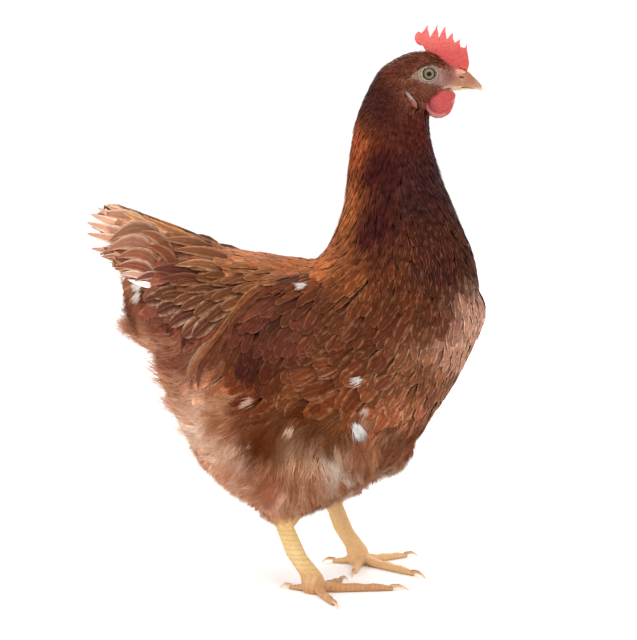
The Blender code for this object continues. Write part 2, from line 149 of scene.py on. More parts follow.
# %% Stage
MIDDLE_X = 0.0288                    # where the camera aims, a little ahead of the hen's middle
CAMERA_BEARING = math.radians(20)    # ahead of the hen's right side
CAMERA_DISTANCE = 1.8
CAMERA_HEIGHT = 0.416
LOOK_AT_HEIGHT = 0.201
LENS = 132.56

scene = bpy.context.scene
scene.view_settings.view_transform = "Standard"

camera = bpy.data.objects.new("camera", bpy.data.cameras.new("camera"))
scene.collection.objects.link(camera)
camera.location = (MIDDLE_X + CAMERA_DISTANCE * math.sin(CAMERA_BEARING),
                   -CAMERA_DISTANCE * math.cos(CAMERA_BEARING), CAMERA_HEIGHT)
aim = Vector((MIDDLE_X, 0, LOOK_AT_HEIGHT)) - camera.location
camera.rotation_euler = aim.to_track_quat("-Z", "Y").to_euler()
camera.data.lens = LENS
camera.data.sensor_width = 36
camera.data.clip_start = 0.05
scene.camera = camera


def softbox(name, place, size, power, tint="#ffffff"):
    """A square area light that faces the middle of the hen."""
    lamp = bpy.data.lights.new(name, "AREA")
    lamp.size = size
    lamp.energy = power
    lamp.color = colour(tint)[:3]
    holder = bpy.data.objects.new(name, lamp)
    scene.collection.objects.link(holder)
    holder.location = place
    holder.rotation_euler = (Vector((0, 0, 0.2)) - Vector(place)).to_track_quat("-Z", "Y").to_euler()


softbox("key_softbox", (1.3, -1.5, 1.9), 1.4, 22)
softbox("fill_softbox", (-1.6, -1.2, 1.3), 1.4, 20)
softbox("rim_softbox", (-0.6, 1.6, 1.6), 1.6, 20)

world = bpy.data.worlds.new("white_surround")
world.use_nodes = True
world.node_tree.nodes["Background"].inputs["Color"].default_value = colour("#ffffff")
world.node_tree.nodes["Background"].inputs["Strength"].default_value = 1.05
scene.world = world

bm = bmesh.new()
bmesh.ops.create_grid(bm, x_segments=1, y_segments=1, size=6)
floor_mesh = bpy.data.meshes.new("floor")
bm.to_mesh(floor_mesh)
bm.free()
floor = bpy.data.objects.new("floor", floor_mesh)
scene.collection.objects.link(floor)
paper, _ = new_material("white_studio_paper", {"Base Color": colour("#fbfbfa"), "Roughness": 0.9})
floor_mesh.materials.append(paper)
floor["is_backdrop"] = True
print("camera at", [round(v, 3) for v in camera.location], "with a lens of", LENS, "mm")

# %% [markdown]
# ## Where is where on this hen
#
# A plumage isn't one pattern. Each tract of a hen, such as the hackle, saddle or fluff, has its own
# colours, its own size of feather and its own lie. Some fifty named places carry these values. Any
# point of the body takes a blend of those near it, weighed by distance, as a painter blends zones.
# Skin and feathers ask the same function, so their markings agree.


# %% Named places of the plumage
class Place(NamedTuple):
    """Where it is, as shares of a node's box along X and Z, and what the plumage is like there."""
    node: str
    along: float
    up: float
    lie: tuple        # heading of the feathers in side view (X, Z)
    base: str         # colour of the vane
    rim: str          # colour of its fringe
    width: float      # of one feather, in mm
    length: float     # of one feather, in mm
    depth: float      # of the coat, in mm
    tract: str


PLACES = [
    Place("head", 0.39, 0.95, (-0.95, -0.30), "#542618", "#98603f", 2.0, 8, 1.2, "head"),
    Place("head", 0.12, 0.57, (-0.60, -0.80), "#38140a", "#703820", 2.2, 12, 2.6, "neck"),
    Place("head", 0.64, 0.34, (-0.55, -0.80), "#6e3a2a", "#a87c68", 1.9, 6, 1.2, "head"),
    Place("head", 0.38, 0.20, (-0.50, -0.85), "#38140a", "#6a3624", 2.0, 8, 1.6, "head"),
    Place("neck", 0.68, 0.85, (-0.10, -1.00), "#46150b", "#804630", 2.2, 12, 2.4, "neck"),
    # golden fringes on the nape; their paleness is partly a painted rim light along the back of the neck
    Place("neck", 0.28, 0.71, (-0.12, -1.00), "#8c3c1c", "#d08a54", 2.6, 24, 4.5, "neck"),
    Place("neck", 0.49, 0.65, (-0.04, -1.00), "#360e06", "#582210", 2.8, 26, 5.0, "neck"),
    # painted sheen: the fore-neck's fringes are a pale greyish mauve, standing for the silky sheen of the
    # hackle there
    Place("neck", 0.73, 0.60, (0.12, -1.00), "#360f09", "#74544a", 2.8, 20, 4.5, "neck"),
    # golden fringes on the nape; their paleness is partly a painted rim light along the back of the neck
    Place("neck", 0.24, 0.45, (-0.30, -1.00), "#9a4e20", "#e6a872", 3.0, 30, 5.0, "neck"),
    Place("neck", 0.46, 0.40, (0.00, -1.00), "#340d05", "#62260e", 3.2, 30, 6.0, "neck"),
    Place("neck", 0.55, 0.22, (-0.06, -1.00), "#481e0e", "#84553a", 5.6, 22, 6.5, "breast"),
    Place("neck", 0.80, 0.36, (0.12, -1.00), "#3a160b", "#7c533a", 5.0, 20, 6.0, "breast"),
    Place("trunk", 0.92, 0.92, (-0.10, -1.00), "#34120a", "#7c523c", 6.6, 24, 7.0, "breast"),
    # painted light: the breast is paler along its front edge, where the light wraps round it
    Place("trunk", 1.01, 0.70, (-0.20, -1.00), "#a06e5a", "#ecd0b8", 7.6, 26, 7.0, "breast"),
    Place("trunk", 0.91, 0.72, (-0.35, -0.95), "#482110", "#8e5e46", 8.6, 27, 7.0, "breast"),
    Place("trunk", 0.82, 0.76, (-0.40, -0.90), "#48200f", "#885a3c", 9.4, 29, 7.0, "breast"),
    Place("trunk", 0.69, 0.91, (-0.60, -0.80), "#643016", "#b07a4c", 8.2, 28, 6.5, "breast"),
    Place("trunk", 0.86, 0.46, (-0.60, -0.80), "#6a3a22", "#b48666", 10.4, 30, 8.0, "breast"),
    # painted light: the breast is paler along its front edge, where the light wraps round it
    Place("trunk", 0.97, 0.55, (-0.35, -0.95), "#a06c54", "#e4c2a8", 9.0, 27, 7.5, "breast"),
    Place("trunk", 0.70, 0.60, (-0.75, -0.65), "#4c2412", "#90624a", 12.0, 32, 7.5, "breast"),
    Place("trunk", 0.63, 0.46, (-0.95, -0.30), "#582913", "#a27458", 14.0, 34, 9.0, "breast"),
    Place("trunk", 0.62, 0.34, (-0.80, -0.60), "#5a2a0f", "#96603e", 10.0, 30, 10.0, "fluff"),
    Place("trunk", 0.38, 0.39, (-0.92, -0.40), "#56200b", "#94542e", 10.0, 30, 10.0, "fluff"),
    Place("trunk", 0.82, 0.27, (-0.45, -0.85), "#80442a", "#cc9874", 11.0, 26, 10.0, "fluff"),
    Place("trunk", 0.72, 0.15, (-0.20, -1.00), "#90421c", "#dc9e74", 11.0, 26, 10.0, "fluff"),
    Place("trunk", 0.45, 0.02, (-0.80, -0.40), "#b06642", "#e8b292", 10.0, 26, 10.0, "fluff"),
    Place("trunk", 0.56, 0.97, (-1.00, -0.05), "#985228", "#ce9262", 5.8, 24, 6.0, "back"),
    Place("trunk", 0.30, 0.96, (-1.00, 0.06), "#9e5e3a", "#cc9870", 6.6, 26, 6.0, "back"),
    Place("trunk", 0.10, 0.97, (-0.95, 0.25), "#6e4028", "#a87c5a", 7.6, 32, 6.0, "back"),
    Place("trunk", 0.10, 0.78, (-0.95, -0.15), "#683a24", "#ac7c5e", 8.5, 32, 7.0, "back"),
    Place("tail", 0.50, 0.13, (-0.85, -0.35), "#b06440", "#f2bc98", 9.0, 30, 8.0, "vent"),
    Place("trunk", 0.11, 0.39, (-0.80, -0.50), "#b06442", "#f0b892", 8.5, 30, 9.0, "vent"),
    Place("trunk", 0.15, 0.57, (-0.80, -0.55), "#86402c", "#b87a5e", 8.5, 30, 8.0, "vent"),
    Place("trunk", 0.05, 0.67, (-0.80, -0.50), "#743424", "#ac6a50", 8.0, 24, 6.0, "vent"),
    Place("tail", 0.55, 0.92, (-0.88, 0.45), "#c48c68", "#f8cea8", 9.0, 38, 5.0, "tail"),
    Place("tail", 0.30, 0.60, (-0.93, 0.24), "#aa7658", "#deb498", 13.0, 40, 5.0, "tail"),
    Place("tail", 0.36, 0.43, (-0.75, -0.60), "#84422e", "#bc7c5c", 8.0, 24, 5.0, "vent"),
    Place("tail", 0.42, 0.46, (-0.75, -0.60), "#70402e", "#a8765c", 8.0, 22, 4.0, "vent"),
    Place("tail", 0.60, 0.60, (-0.92, 0.10), "#743f2c", "#ac785c", 10.0, 36, 5.0, "tail"),
    Place("tail", 0.62, 0.42, (-0.92, -0.05), "#70402c", "#a87658", 10.0, 38, 6.0, "tail"),
    Place("thigh_right", 0.44, 0.62, (-0.45, -0.90), "#5c250d", "#84421e", 9.0, 28, 11.0, "fluff"),
    # pale fluff at the rear of the thigh, partly a painted highlight where light from behind catches it
    Place("thigh_right", 0.05, 0.68, (-0.95, -0.30), "#f6b68e", "#fff0de", 9.0, 28, 11.0, "fluff"),
    Place("thigh_right", 0.22, 0.82, (-0.90, -0.35), "#a2562e", "#f0b68c", 9.0, 28, 11.0, "fluff"),
    Place("thigh_right", 0.24, 0.36, (-0.75, -0.65), "#d88c64", "#fad8bc", 8.5, 26, 10.0, "fluff"),
    Place("thigh_right", 0.51, 0.08, (-0.15, -1.00), "#c0785a", "#f4c8aa", 7.0, 24, 7.0, "fluff"),
    Place("thigh_right", 0.66, 0.36, (0.15, -1.00), "#a2562e", "#f6c8a0", 8.0, 26, 9.0, "fluff"),
    Place("thigh_right", 0.86, 0.42, (0.75, -0.70), "#c07a4e", "#fff0dc", 8.0, 26, 9.0, "fluff"),
    Place("thigh_right", 0.80, 0.66, (0.10, -1.00), "#623014", "#985c34", 9.0, 26, 10.0, "fluff"),
    Place("wing_right", 0.76, 0.71, (-0.45, -0.95), "#4a2415", "#7c4e33", 10.0, 28, 5.0, "wing"),
    Place("wing_right", 0.56, 0.43, (-0.45, -0.95), "#4a2216", "#74483a", 10.5, 32, 5.0, "wing"),
    Place("wing_right", 0.50, 0.16, (-0.40, -1.00), "#38160a", "#603419", 5.6, 30, 5.0, "wing"),
    Place("wing_right", 0.24, 0.79, (-0.85, -0.45), "#4c2616", "#845838", 7.0, 26, 5.0, "scapulars"),
    Place("wing_right", 0.15, 0.48, (-0.75, -0.70), "#562618", "#885643", 8.0, 28, 5.0, "vent"),
]
TRACTS = sorted({place.tract for place in PLACES})
print(len(PLACES), "places in", len(TRACTS), "tracts:", ", ".join(TRACTS))

# %% [markdown]
# ### Blending the places
#
# A point takes a share of every place, and the share falls off fast with distance. So the values run
# into one another over about the width of a feather, and no edge shows between two tracts.


# %% Blend of the places
def place_spot(place):
    low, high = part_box(place.node)
    return (low.x + (high.x - low.x) * place.along, low.z + (high.z - low.z) * place.up)


spots = np.array([place_spot(place) for place in PLACES])
place_values = {
    "lie": np.array([place.lie for place in PLACES]),
    "base": np.array([colour(place.base)[:3] for place in PLACES]),
    "rim": np.array([colour(place.rim)[:3] for place in PLACES]),
    "width": np.array([place.width * MM for place in PLACES]),
    "length": np.array([place.length * MM for place in PLACES]),
    "depth": np.array([place.depth * MM for place in PLACES]),
}
BLEND_REACH = 9 * MM


def nearness(points):
    """How much each place counts at each point, in shares that add up to 1."""
    apart = points[:, None, [0, 2]] - spots[None]
    weight = ((apart ** 2).sum(2) + BLEND_REACH ** 2) ** -2.2
    return weight / weight.sum(1, keepdims=True)


def plumage(points, what):
    """The blended value of the plumage at each point."""
    return nearness(points) @ place_values[what]


def tract_of(points):
    return np.array([place.tract for place in PLACES])[nearness(points).argmax(1)]


print("places along X and Z from", spots.min(0).round(3), "to", spots.max(0).round(3))

# %% [markdown]
# ## One skin under everything
#
# A bird's skin runs unbroken from comb to toes. The solids stop at hairline gaps, so copies of them
# are grown by a little, and a voxel remesh fuses what overlaps. The head needs a fine mesh and the
# body a coarse one, so three pieces are remeshed apart and then bridged where feathers hide the join.


# %% Fusing copies of the solids
GROWTH = 0.6 * MM


def fused(names, voxel, extra=None, grow=GROWTH, smooth=2):
    """One closed mesh round copies of the named nodes, and round any extra shapes."""
    joined = bmesh.new()
    for name in names:
        piece = bmesh.new()
        piece.from_mesh(frame["nodes"][name].data)
        bmesh.ops.remove_doubles(piece, verts=piece.verts, dist=0.01 * MM)
        piece.normal_update()
        push_out(piece, grow)
        add_to(joined, piece)
    for shape in extra or []:
        add_to(joined, shape)
    mesh = bpy.data.meshes.new("fusing")
    joined.to_mesh(mesh)
    joined.free()
    holder = bpy.data.objects.new("fusing", mesh)
    scene.collection.objects.link(holder)
    remesh = holder.modifiers.new("fuse", "REMESH")
    remesh.mode = "VOXEL"
    remesh.voxel_size = voxel
    made = evaluated(holder)
    smoothed(made, made.verts, smooth)
    return made


def push_out(bm, by):
    """Moves each point along its normal, by one distance or by a distance of its own."""
    by = np.broadcast_to(by, len(bm.verts))
    for vert, spot in [(vert, vert.co + vert.normal * d) for vert, d in zip(bm.verts, by)]:
        vert.co = spot


def evaluated(holder):
    """The mesh of an object after its modifiers. The object is then thrown away."""
    bpy.context.view_layer.update()
    graph = bpy.context.evaluated_depsgraph_get()
    made = bmesh.new()
    made.from_mesh(bpy.data.meshes.new_from_object(holder.evaluated_get(graph)))
    bpy.data.objects.remove(holder)
    return made


def smoothed(bm, verts, times):
    for _ in range(times):
        bmesh.ops.smooth_vert(bm, verts=verts, factor=0.5, use_axis_x=True, use_axis_y=True,
                              use_axis_z=True)
    bm.normal_update()


# %% [markdown]
# ### Joining, cutting and measuring meshes
#
# These few helpers are used all through the skin: one mesh is added to another, two closed ones are
# united, or an end is cut off level and left open for a bridge.


# %% Mesh helpers
def united(first, second):
    """One mesh round two closed ones."""
    holders = []
    for bm in (first, second):
        mesh = bpy.data.meshes.new("uniting")
        bm.to_mesh(mesh)
        bm.free()
        holders.append(bpy.data.objects.new("uniting", mesh))
        scene.collection.objects.link(holders[-1])
    union = holders[0].modifiers.new("union", "BOOLEAN")
    union.operation = "UNION"
    union.solver = "MANIFOLD"
    union.object = holders[1]
    made = evaluated(holders[0])
    bpy.data.objects.remove(holders[1])
    return made


def add_to(joined, piece):
    mesh = bpy.data.meshes.new("piece")
    piece.to_mesh(mesh)
    piece.free()
    joined.from_mesh(mesh)
    bpy.data.meshes.remove(mesh)


def cut_at(bm, height, keep_above):
    """Cuts a mesh level at a height. The cut stays open, for a bridge."""
    bmesh.ops.bisect_plane(
        bm, geom=bm.verts[:] + bm.edges[:] + bm.faces[:], plane_co=(0, 0, height),
        plane_no=(0, 0, 1), clear_inner=keep_above, clear_outer=not keep_above)


def middle_of(node):
    low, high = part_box(node)
    return (low + high) / 2


def co_array(bm):
    return np.array([vert.co for vert in bm.verts])


SIDES = ("left", "right")
OUTWARD = {"left": 1, "right": -1}      # along Y
TOES = ("middle", "inner", "outer", "hind")
body_nodes = ["trunk", "neck"] + [part + side for part in ("thigh_", "wing_") for side in SIDES]
head_flesh = ["comb"] + [part + side for part in ("wattle_", "earlobe_") for side in SIDES]
leg_nodes = ["shank_" + side for side in SIDES] + [
    f"toe_{toe}_{side}" for toe in TOES for side in SIDES]
print("one skin round", len(body_nodes) + 1 + len(head_flesh) + len(leg_nodes), "solids")

# %% [markdown]
# ### The head's own directions
#
# The head is turned a little to its left. The two eyeballs give its frame: the line between them
# runs sideways, and ahead is square to it. Sizes of the face are then given from the midpoint.

# %% Head frame
EYE_SETBACK = 1.5 * MM       # the balls sit this much behind the middles of their solids
eye_centres = {side: middle_of("eye_" + side) for side in SIDES}
sideways = (eye_centres["left"] - eye_centres["right"]).normalized()
ahead = sideways.cross(Vector((0, 0, 1)))
eye_centres = {side: centre - ahead * EYE_SETBACK for side, centre in eye_centres.items()}
head_middle = (eye_centres["left"] + eye_centres["right"]) / 2
head_axes = np.array([ahead, sideways, (0, 0, 1)])
eye_radius = (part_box("eye_left")[1].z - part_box("eye_left")[0].z) / 2


def from_head(f, s, u):
    """The point that lies f mm ahead, s mm to the left and u mm above the middle of the head."""
    return head_middle + (ahead * f + sideways * s + Vector((0, 0, u))) * MM


def in_head(points):
    """The same the other way round: each point's place in the head, in mm."""
    return (points - np.array(head_middle)) @ head_axes.T / MM


print("eye centre", [round(v, 4) for v in eye_centres["right"]], "radius", round(eye_radius, 5))

# %% [markdown]
# ### Lids and folds of the face
#
# Each eye looks out of two rings of skin: the rim of the lids, which hugs the ball, and a softer fold
# outside it. A ring is a small circle spun once round the eye's axis. It joins the head before the
# fusing, so that it grows out of the face instead of lying on it.


# %% Rings round the eyes
def ring(centre, axis, radius, thickness, squash=1.0):
    """A closed ring about an axis. Squash flattens it from above, as lids do."""
    bm = bmesh.new()
    circle = bmesh.ops.create_circle(bm, segments=10, radius=thickness)["verts"]
    bmesh.ops.rotate(bm, verts=circle, cent=(0, 0, 0), matrix=Matrix.Rotation(math.pi / 2, 3, "X"))
    bmesh.ops.translate(bm, verts=circle, vec=(radius, 0, 0))
    bmesh.ops.spin(bm, geom=bm.edges[:], cent=(0, 0, 0), axis=(0, 0, 1), angle=math.tau, steps=40,
                   use_merge=True)
    turn = axis.to_track_quat("Z", "Y").to_matrix()
    bmesh.ops.rotate(bm, verts=bm.verts, cent=(0, 0, 0), matrix=turn)
    bmesh.ops.scale(bm, verts=bm.verts, vec=(1, 1, squash))
    bmesh.ops.translate(bm, verts=bm.verts, vec=centre)
    bmesh.ops.recalc_face_normals(bm, faces=bm.faces)
    return bm


def eye_axis(side):
    """The way an eye looks: out to its side and a little ahead."""
    return (sideways * OUTWARD[side] + ahead * 0.10).normalized()


EYE_OPENING = 4.7            # mm from its axis, where the lids begin
lids = []
for side in SIDES:
    axis = eye_axis(side)
    rim_offset = math.sqrt(eye_radius ** 2 - (EYE_OPENING * MM) ** 2)
    lids.append(ring(eye_centres[side] + axis * rim_offset, axis, 5.5 * MM, 0.7 * MM, 0.96))
    lids.append(ring(eye_centres[side] + axis * (rim_offset - 1.1 * MM), axis, 7.0 * MM, 0.7 * MM, 0.97))

print(len(lids), "rings of the lids")

# %% [markdown]
# ### Folds at the base of the bill
#
# Where the skin meets the horn it swells: a hood over the nostril, the lore below it, and a fold at
# the corner of the mouth. Each is an egg shape, half sunk in the head.


# %% Folds
def fold(f, s, u, radii):
    """A closed egg shape that stands in the head's own directions. Sizes in mm."""
    bm = bmesh.new()
    bmesh.ops.create_icosphere(bm, subdivisions=3, radius=MM)
    bmesh.ops.scale(bm, verts=bm.verts, vec=radii)
    turn = Matrix([ahead, sideways, (0, 0, 1)]).transposed()
    bmesh.ops.rotate(bm, verts=bm.verts, cent=(0, 0, 0), matrix=turn)
    bmesh.ops.translate(bm, verts=bm.verts, vec=from_head(f, s, u))
    return bm


folds = []
for out in (-1, 1):
    folds += [fold(23.6, out * 3.1, 1.0, (5.6, 3.3, 2.7)),       # the hood over the nostril
              fold(21.6, out * 4.1, -5.2, (4.4, 3.3, 2.6)),      # the lore, where it meets the horn
              fold(21.0, out * 3.9, -9.1, (7.0, 3.1, 1.6))]      # the corner of the mouth

print(len(folds), "folds")

# %% [markdown]
# ### The three remeshes
#
# The size of a voxel sets how fine a shape can be. The comb has the finest ones, so that its spikes
# stay sharp, and it then joins the head as a clean union.

# %% The three remeshes
NECK_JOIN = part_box("head")[0].z - 22 * MM    # under the hackle
THIGH_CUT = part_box("thigh_right")[0].z + 7 * MM
SHANK_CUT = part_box("shank_right")[1].z - 6 * MM
BODY_VOXEL, HEAD_VOXEL, LEG_VOXEL = 3.0 * MM, 0.72 * MM, 1.0 * MM
COMB_VOXEL = 0.42 * MM

outer_form = fused(body_nodes + ["head", "tail"], BODY_VOXEL, smooth=4)      # of the plumage
skin = fused(body_nodes + ["head"], BODY_VOXEL, smooth=4)
head_part = united(fused(["head", "neck"] + head_flesh[1:], HEAD_VOXEL, lids + folds),
                   fused(head_flesh[:1], COMB_VOXEL, grow=0.2 * MM, smooth=1))
leg_part = fused(leg_nodes, LEG_VOXEL, grow=0.15 * MM)
for vert in leg_part.verts:
    vert.co.z = max(vert.co.z, 0.0)
print("faces: body", len(outer_form.faces), "head", len(head_part.faces), "legs", len(leg_part.faces))

# %% [markdown]
# ### Guides
#
# A feather needs to know the form that it lies on: the nearest point and the direction out of it.
# A guide keeps a search tree of a mesh, with soft normals that are blended from the corners of the
# face that is hit, so that feathers don't jump where one flat face meets the next.


# %% Guide
class Guide:
    """A form to lay things on."""

    def __init__(self, bm):
        bm.verts.ensure_lookup_table()
        bm.normal_update()
        self.points = np.array([vert.co for vert in bm.verts])
        self.normals = np.array([vert.normal for vert in bm.verts])
        self.corners = [[vert.index for vert in face.verts] for face in bm.faces]
        self.areas = np.array([face.calc_area() for face in bm.faces])
        self.middles = np.array([face.calc_center_median() for face in bm.faces])
        self.tree = BVHTree.FromBMesh(bm)
        self.four = np.array([(c + c[-1:])[:4] for c in self.corners])

    def settle(self, places):
        """The nearest point of the form to each place, its outward normal, and its face."""
        hits = [self.tree.find_nearest(Vector(place)) for place in places]
        found = np.array([hit[0] for hit in hits])
        faces = np.array([hit[2] for hit in hits])
        near = self.four[faces]
        gap = np.linalg.norm(self.points[near] - found[:, None], axis=2) + 0.2 * MM
        blended = (self.normals[near] / gap[..., None] ** 2).sum(1)
        return found, unit(blended), faces

    def scatter(self, count, allowed):
        """Random spots, even by area, on the faces whose middles are allowed."""
        share = self.areas * allowed
        faces = random.choice(len(share), count, p=share / share.sum())
        mix = random.dirichlet((1, 1, 1, 1), count)
        return (self.points[self.four[faces]] * mix[..., None]).sum(1)


def unit(vectors):
    return vectors / np.maximum(np.linalg.norm(vectors, axis=-1, keepdims=True), 1e-9)


body_guide = Guide(outer_form)
print("guide of the body:", len(body_guide.middles), "faces")

# %% [markdown]
# ### Zones of the head
#
# Comb and wattles are found by their distance from the solids that they come from. The bare face is
# an oval round the eye that reaches to the bill, with a strip that runs back to the ear. The ear lobe
# is a slim pale strip with a red edge.


# %% Zones
def shade(hex_code):
    return np.array(colour(hex_code)[:3])


def toward(colours, goal, share):
    return colours + (goal - colours) * share[:, None]


def ripple(points, size, seed=0.0):
    """Smooth noise between about -1 and 1 whose lumps are the given size across."""
    return np.array([noise.noise(Vector(point) / size + Vector((seed, 0, 0))) for point in points])


def fade(values, low, high):
    """0 below low, 1 above high, and a smooth rise between."""
    share = np.clip((values - low) / (high - low), 0, 1)
    return share * share * (3 - 2 * share)


def band(values, at, inner, outer):
    """1 near a value, and a smooth fall to 0 between two distances from it."""
    return 1 - fade(np.abs(values - at), inner, outer)


def nearest_gap(points, names):
    """How far each point is from the surface of the named nodes."""
    bm = bmesh.new()
    for name in names:
        bm.from_mesh(frame["nodes"][name].data)
    tree = BVHTree.FromBMesh(bm)
    bm.free()
    return np.array([tree.find_nearest(Vector(point))[3] for point in points])


BROW_AT = (-20, -14, -8, -4, 0, 6, 9, 13.6, 17, 22)         # mm ahead of the eye
BROW_UP = (-5.8, -1.6, 2.8, 5.4, 6.7, 6.2, 5.2, 4.6, 5.4, 7.5)   # mm up: the brow's feathers end


def head_zones(points):
    """Shares of red flesh and of bare face at each point, and its place (f, u) in side view, in mm."""
    f, _, u = in_head(points).T
    flesh, bare = np.zeros(len(points)), np.zeros(len(points))
    on_head = points[:, 2] > NECK_JOIN - 2 * MM
    flesh[on_head] = 1 - fade(nearest_gap(points[on_head], head_flesh[:3]), 0.7 * MM, 1.6 * MM)
    flesh = np.maximum(flesh, fade(u, 17.5, 19.5))                  # nothing but comb is so high
    edge = 0.06 * np.sin(f * 1.7) + 0.05 * np.sin(u * 2.3 + f)
    tilted = u + 3.6 + 0.16 * (f - 7)
    round_eye = np.hypot((f - 8) / 22, tilted / 9.6) + edge
    cheek = np.hypot((f - 2.5) / 10.5, (u + 12.5) / 6.5) + edge
    behind = np.clip((-4 - f) / 15, 0, 1)                           # a strip runs back to the ear
    strip = np.hypot(f + 4 + 15 * behind, u + 0.5 + 6.8 * behind) / 2.5 + edge
    bare[on_head] = 1 - fade(np.minimum(np.minimum(round_eye, cheek), strip), 0.88, 1.06)[on_head]
    bare *= 1 - fade(u - np.interp(f, BROW_AT, BROW_UP), -0.5, 0.4)
    drop = np.hypot((f - 15.4) / 5.8, (u + 15.6) / 6.4)             # the wattle's front, drawn down
    flesh = np.maximum(flesh, (1 - fade(drop, 0.85, 1.0)) * fade(-u, 12.2, 12.9))
    return flesh, bare, f, u


def lobe_zones(points):
    """Shares of the pale strip and of the red edge of the ear lobe."""
    f, _, u = in_head(points).T
    along = (f + 12.2) * 0.67 - (u + 19.4) * 0.745
    off = (f + 12.6) * 0.745 + (u + 18.8) * 0.67 + 0.7 * ripple(points, 3.5 * MM, 6.0)
    near = band(along, 0, 5.5, 11.0)
    slim = 0.35 + 0.65 * near                                       # it tapers to both ends
    pale = (1 - fade(np.abs(off - 0.8) / slim, 0.7, 1.4)) * fade(-along, -7, -2)
    red = (1 - fade(np.abs(off + 0.8) / slim, 0.7, 1.5)) * fade(along, -5, 0)
    return near * pale, near * red


def eye_ring(points):
    """1 over the lids, where no feather may reach."""
    f, _, u = in_head(points).T
    return 1 - fade(np.hypot(f, u), 7.2, 8.0)


# %% [markdown]
# ### Setting the skin in by the depth of the coat
#
# Under the feathers the real body is much slimmer than the bird looks. Each point of the fused body
# moves inwards by the local depth of the coat. Its neck and leg ends stay open, to be bridged to the
# head and the feet, which keep their full size because bare skin shows there.

# %% The body
cut_at(skin, NECK_JOIN, keep_above=False)
cut_at(skin, THIGH_CUT, keep_above=True)
skin.normal_update()
skin.verts.ensure_lookup_table()
places = co_array(skin)
depth = plumage(places, "depth") * 0.62
near_ends = np.minimum(np.abs(places[:, 2] - THIGH_CUT), np.abs(places[:, 2] - NECK_JOIN))
depth *= np.clip(0.35 + near_ends / (30 * MM), 0, 1)
push_out(skin, -depth)
smoothed(skin, [vert for vert in skin.verts if not vert.is_boundary], 6)
print("depth of the coat on the body, mm:", round(depth.min() / MM, 1), "to", round(depth.max() / MM, 1))

# %% [markdown]
# ### Shaping the head
#
# The head's solids are plain. Here the wattles get a rolled rim and wrinkles, the comb's spikes lean
# and its notches deepen, and the lids are pressed open, each point to just under the eyeball. The
# feathered part is set in by its thin coat.

# %% The head
WATTLE_AT = (8.4, -21.6)                                          # its middle: mm ahead and up
WATTLE_RADII = (10.4, 9.1)
TIPS_AT = (-8.0, -2.1, 3.7, 9.5, 15.1, 21.0, 26.9, 30.0)          # spikes of the comb, mm ahead
TIPS_LEAN = (0.0, 0.0, 1.7, 2.0, 1.6, 1.3, 0.0, 0.0)              # mm further ahead
TIPS_RISE = (0.0, 0.0, 1.6, 4.2, 3.2, 2.2, 0.4, 0.0)              # mm further up
VALLEYS_AT = (1.2, 6.9, 12.4, 17.9, 24.2)                         # notches between them
VALLEY_DEPTH = 2.2                                                # mm


def round_wattle_at(f, u):
    """1 on the rim of the wattle, less inside it."""
    return np.hypot((f - WATTLE_AT[0]) / WATTLE_RADII[0], (u - WATTLE_AT[1]) / WATTLE_RADII[1])


at_bill = [vert for vert, (f, _, u) in zip(head_part.verts, in_head(co_array(head_part)))
           if f > 19 and u < 6]
smoothed(head_part, at_bill, 7)
head_form = head_part.copy()
cut_at(head_form, NECK_JOIN - 26 * MM, keep_above=True)
cut_at(head_part, NECK_JOIN + 6 * MM, keep_above=True)
head_part.normal_update()
places = co_array(head_part)
flesh_share, bare_share, f, u = head_zones(places)
depth = plumage(places, "depth") * (1 - np.maximum(flesh_share, bare_share))
depth *= 1 - fade(f, 16, 20)

wattle = (nearest_gap(places, head_flesh[1:3]) < 1.0 * MM) * 1.0
across_wattle, up_wattle = f - WATTLE_AT[0], u - WATTLE_AT[1]
upper_back = across_wattle * -0.53 + up_wattle * 0.85             # how far up and back on the wattle
shrink = np.maximum(upper_back - 5.0, 0) * 0.6 * wattle
for vert, back in zip(head_part.verts, shrink):
    vert.co -= (ahead * -0.53 + Vector((0, 0, 0.85))) * back * MM
lower_back = fade(-across_wattle - up_wattle, -4, 4)
roll = band(round_wattle_at(f, u), 0.80, 0.03, 0.10) * lower_back * wattle
wrinkles = wattle * ripple(places * [1, 1, 4], 6 * MM, 2.0) * 0.35
depth += (roll * 0.7 + wrinkles) * MM
push_out(head_part, -depth)

spike = fade(u - (28.0 - (f - 0.7) * 0.394), -2.5, 4.5) * (nearest_gap(places, ["comb"]) < 0.8 * MM)
lean, lifted = (spike * np.interp(f, TIPS_AT, by) for by in (TIPS_LEAN, TIPS_RISE))
sunk = np.exp(-((f[:, None] - np.array(VALLEYS_AT)) / 1.1) ** 2).max(1)
lifted = lifted - VALLEY_DEPTH * sunk * fade(u - (29.3 - 0.44 * f), -4.0, -0.5) * (flesh_share > 0.5)
pull = fade(np.minimum(across_wattle * 0.6 + up_wattle * 0.8, 9.0), 3.5, 9.0) * (wattle > 0)
chin = fade(f, 11, 19) * np.clip(-12.4 - u, 0, 10) * (wattle == 0)
for vert, forward, up_by in zip(head_part.verts, lean + 2.3 * pull, lifted + chin + 2.6 * pull):
    vert.co = vert.co + ahead * forward * MM + Vector((0, 0, up_by * MM))
    for side in SIDES:                                             # opens the lids over the ball
        off = vert.co - eye_centres[side]
        axis = eye_axis(side)
        aside = off - axis * off.dot(axis)
        if off.dot(axis) > 0 and aside.length < EYE_OPENING * MM:
            under = math.sqrt((eye_radius - 0.8 * MM) ** 2 - aside.length_squared)
            vert.co = eye_centres[side] + aside + axis * under
print("points of the wattles:", int(wattle.sum()), "of the comb's spikes:", int((spike > 0).sum()))

# %% [markdown]
# ### Joining body, head and feet
#
# Each open rim of the body is bridged to the rim that faces it, so the skin is closed from comb to
# toes. The joins lie under the hackle and under the thighs' fluff.


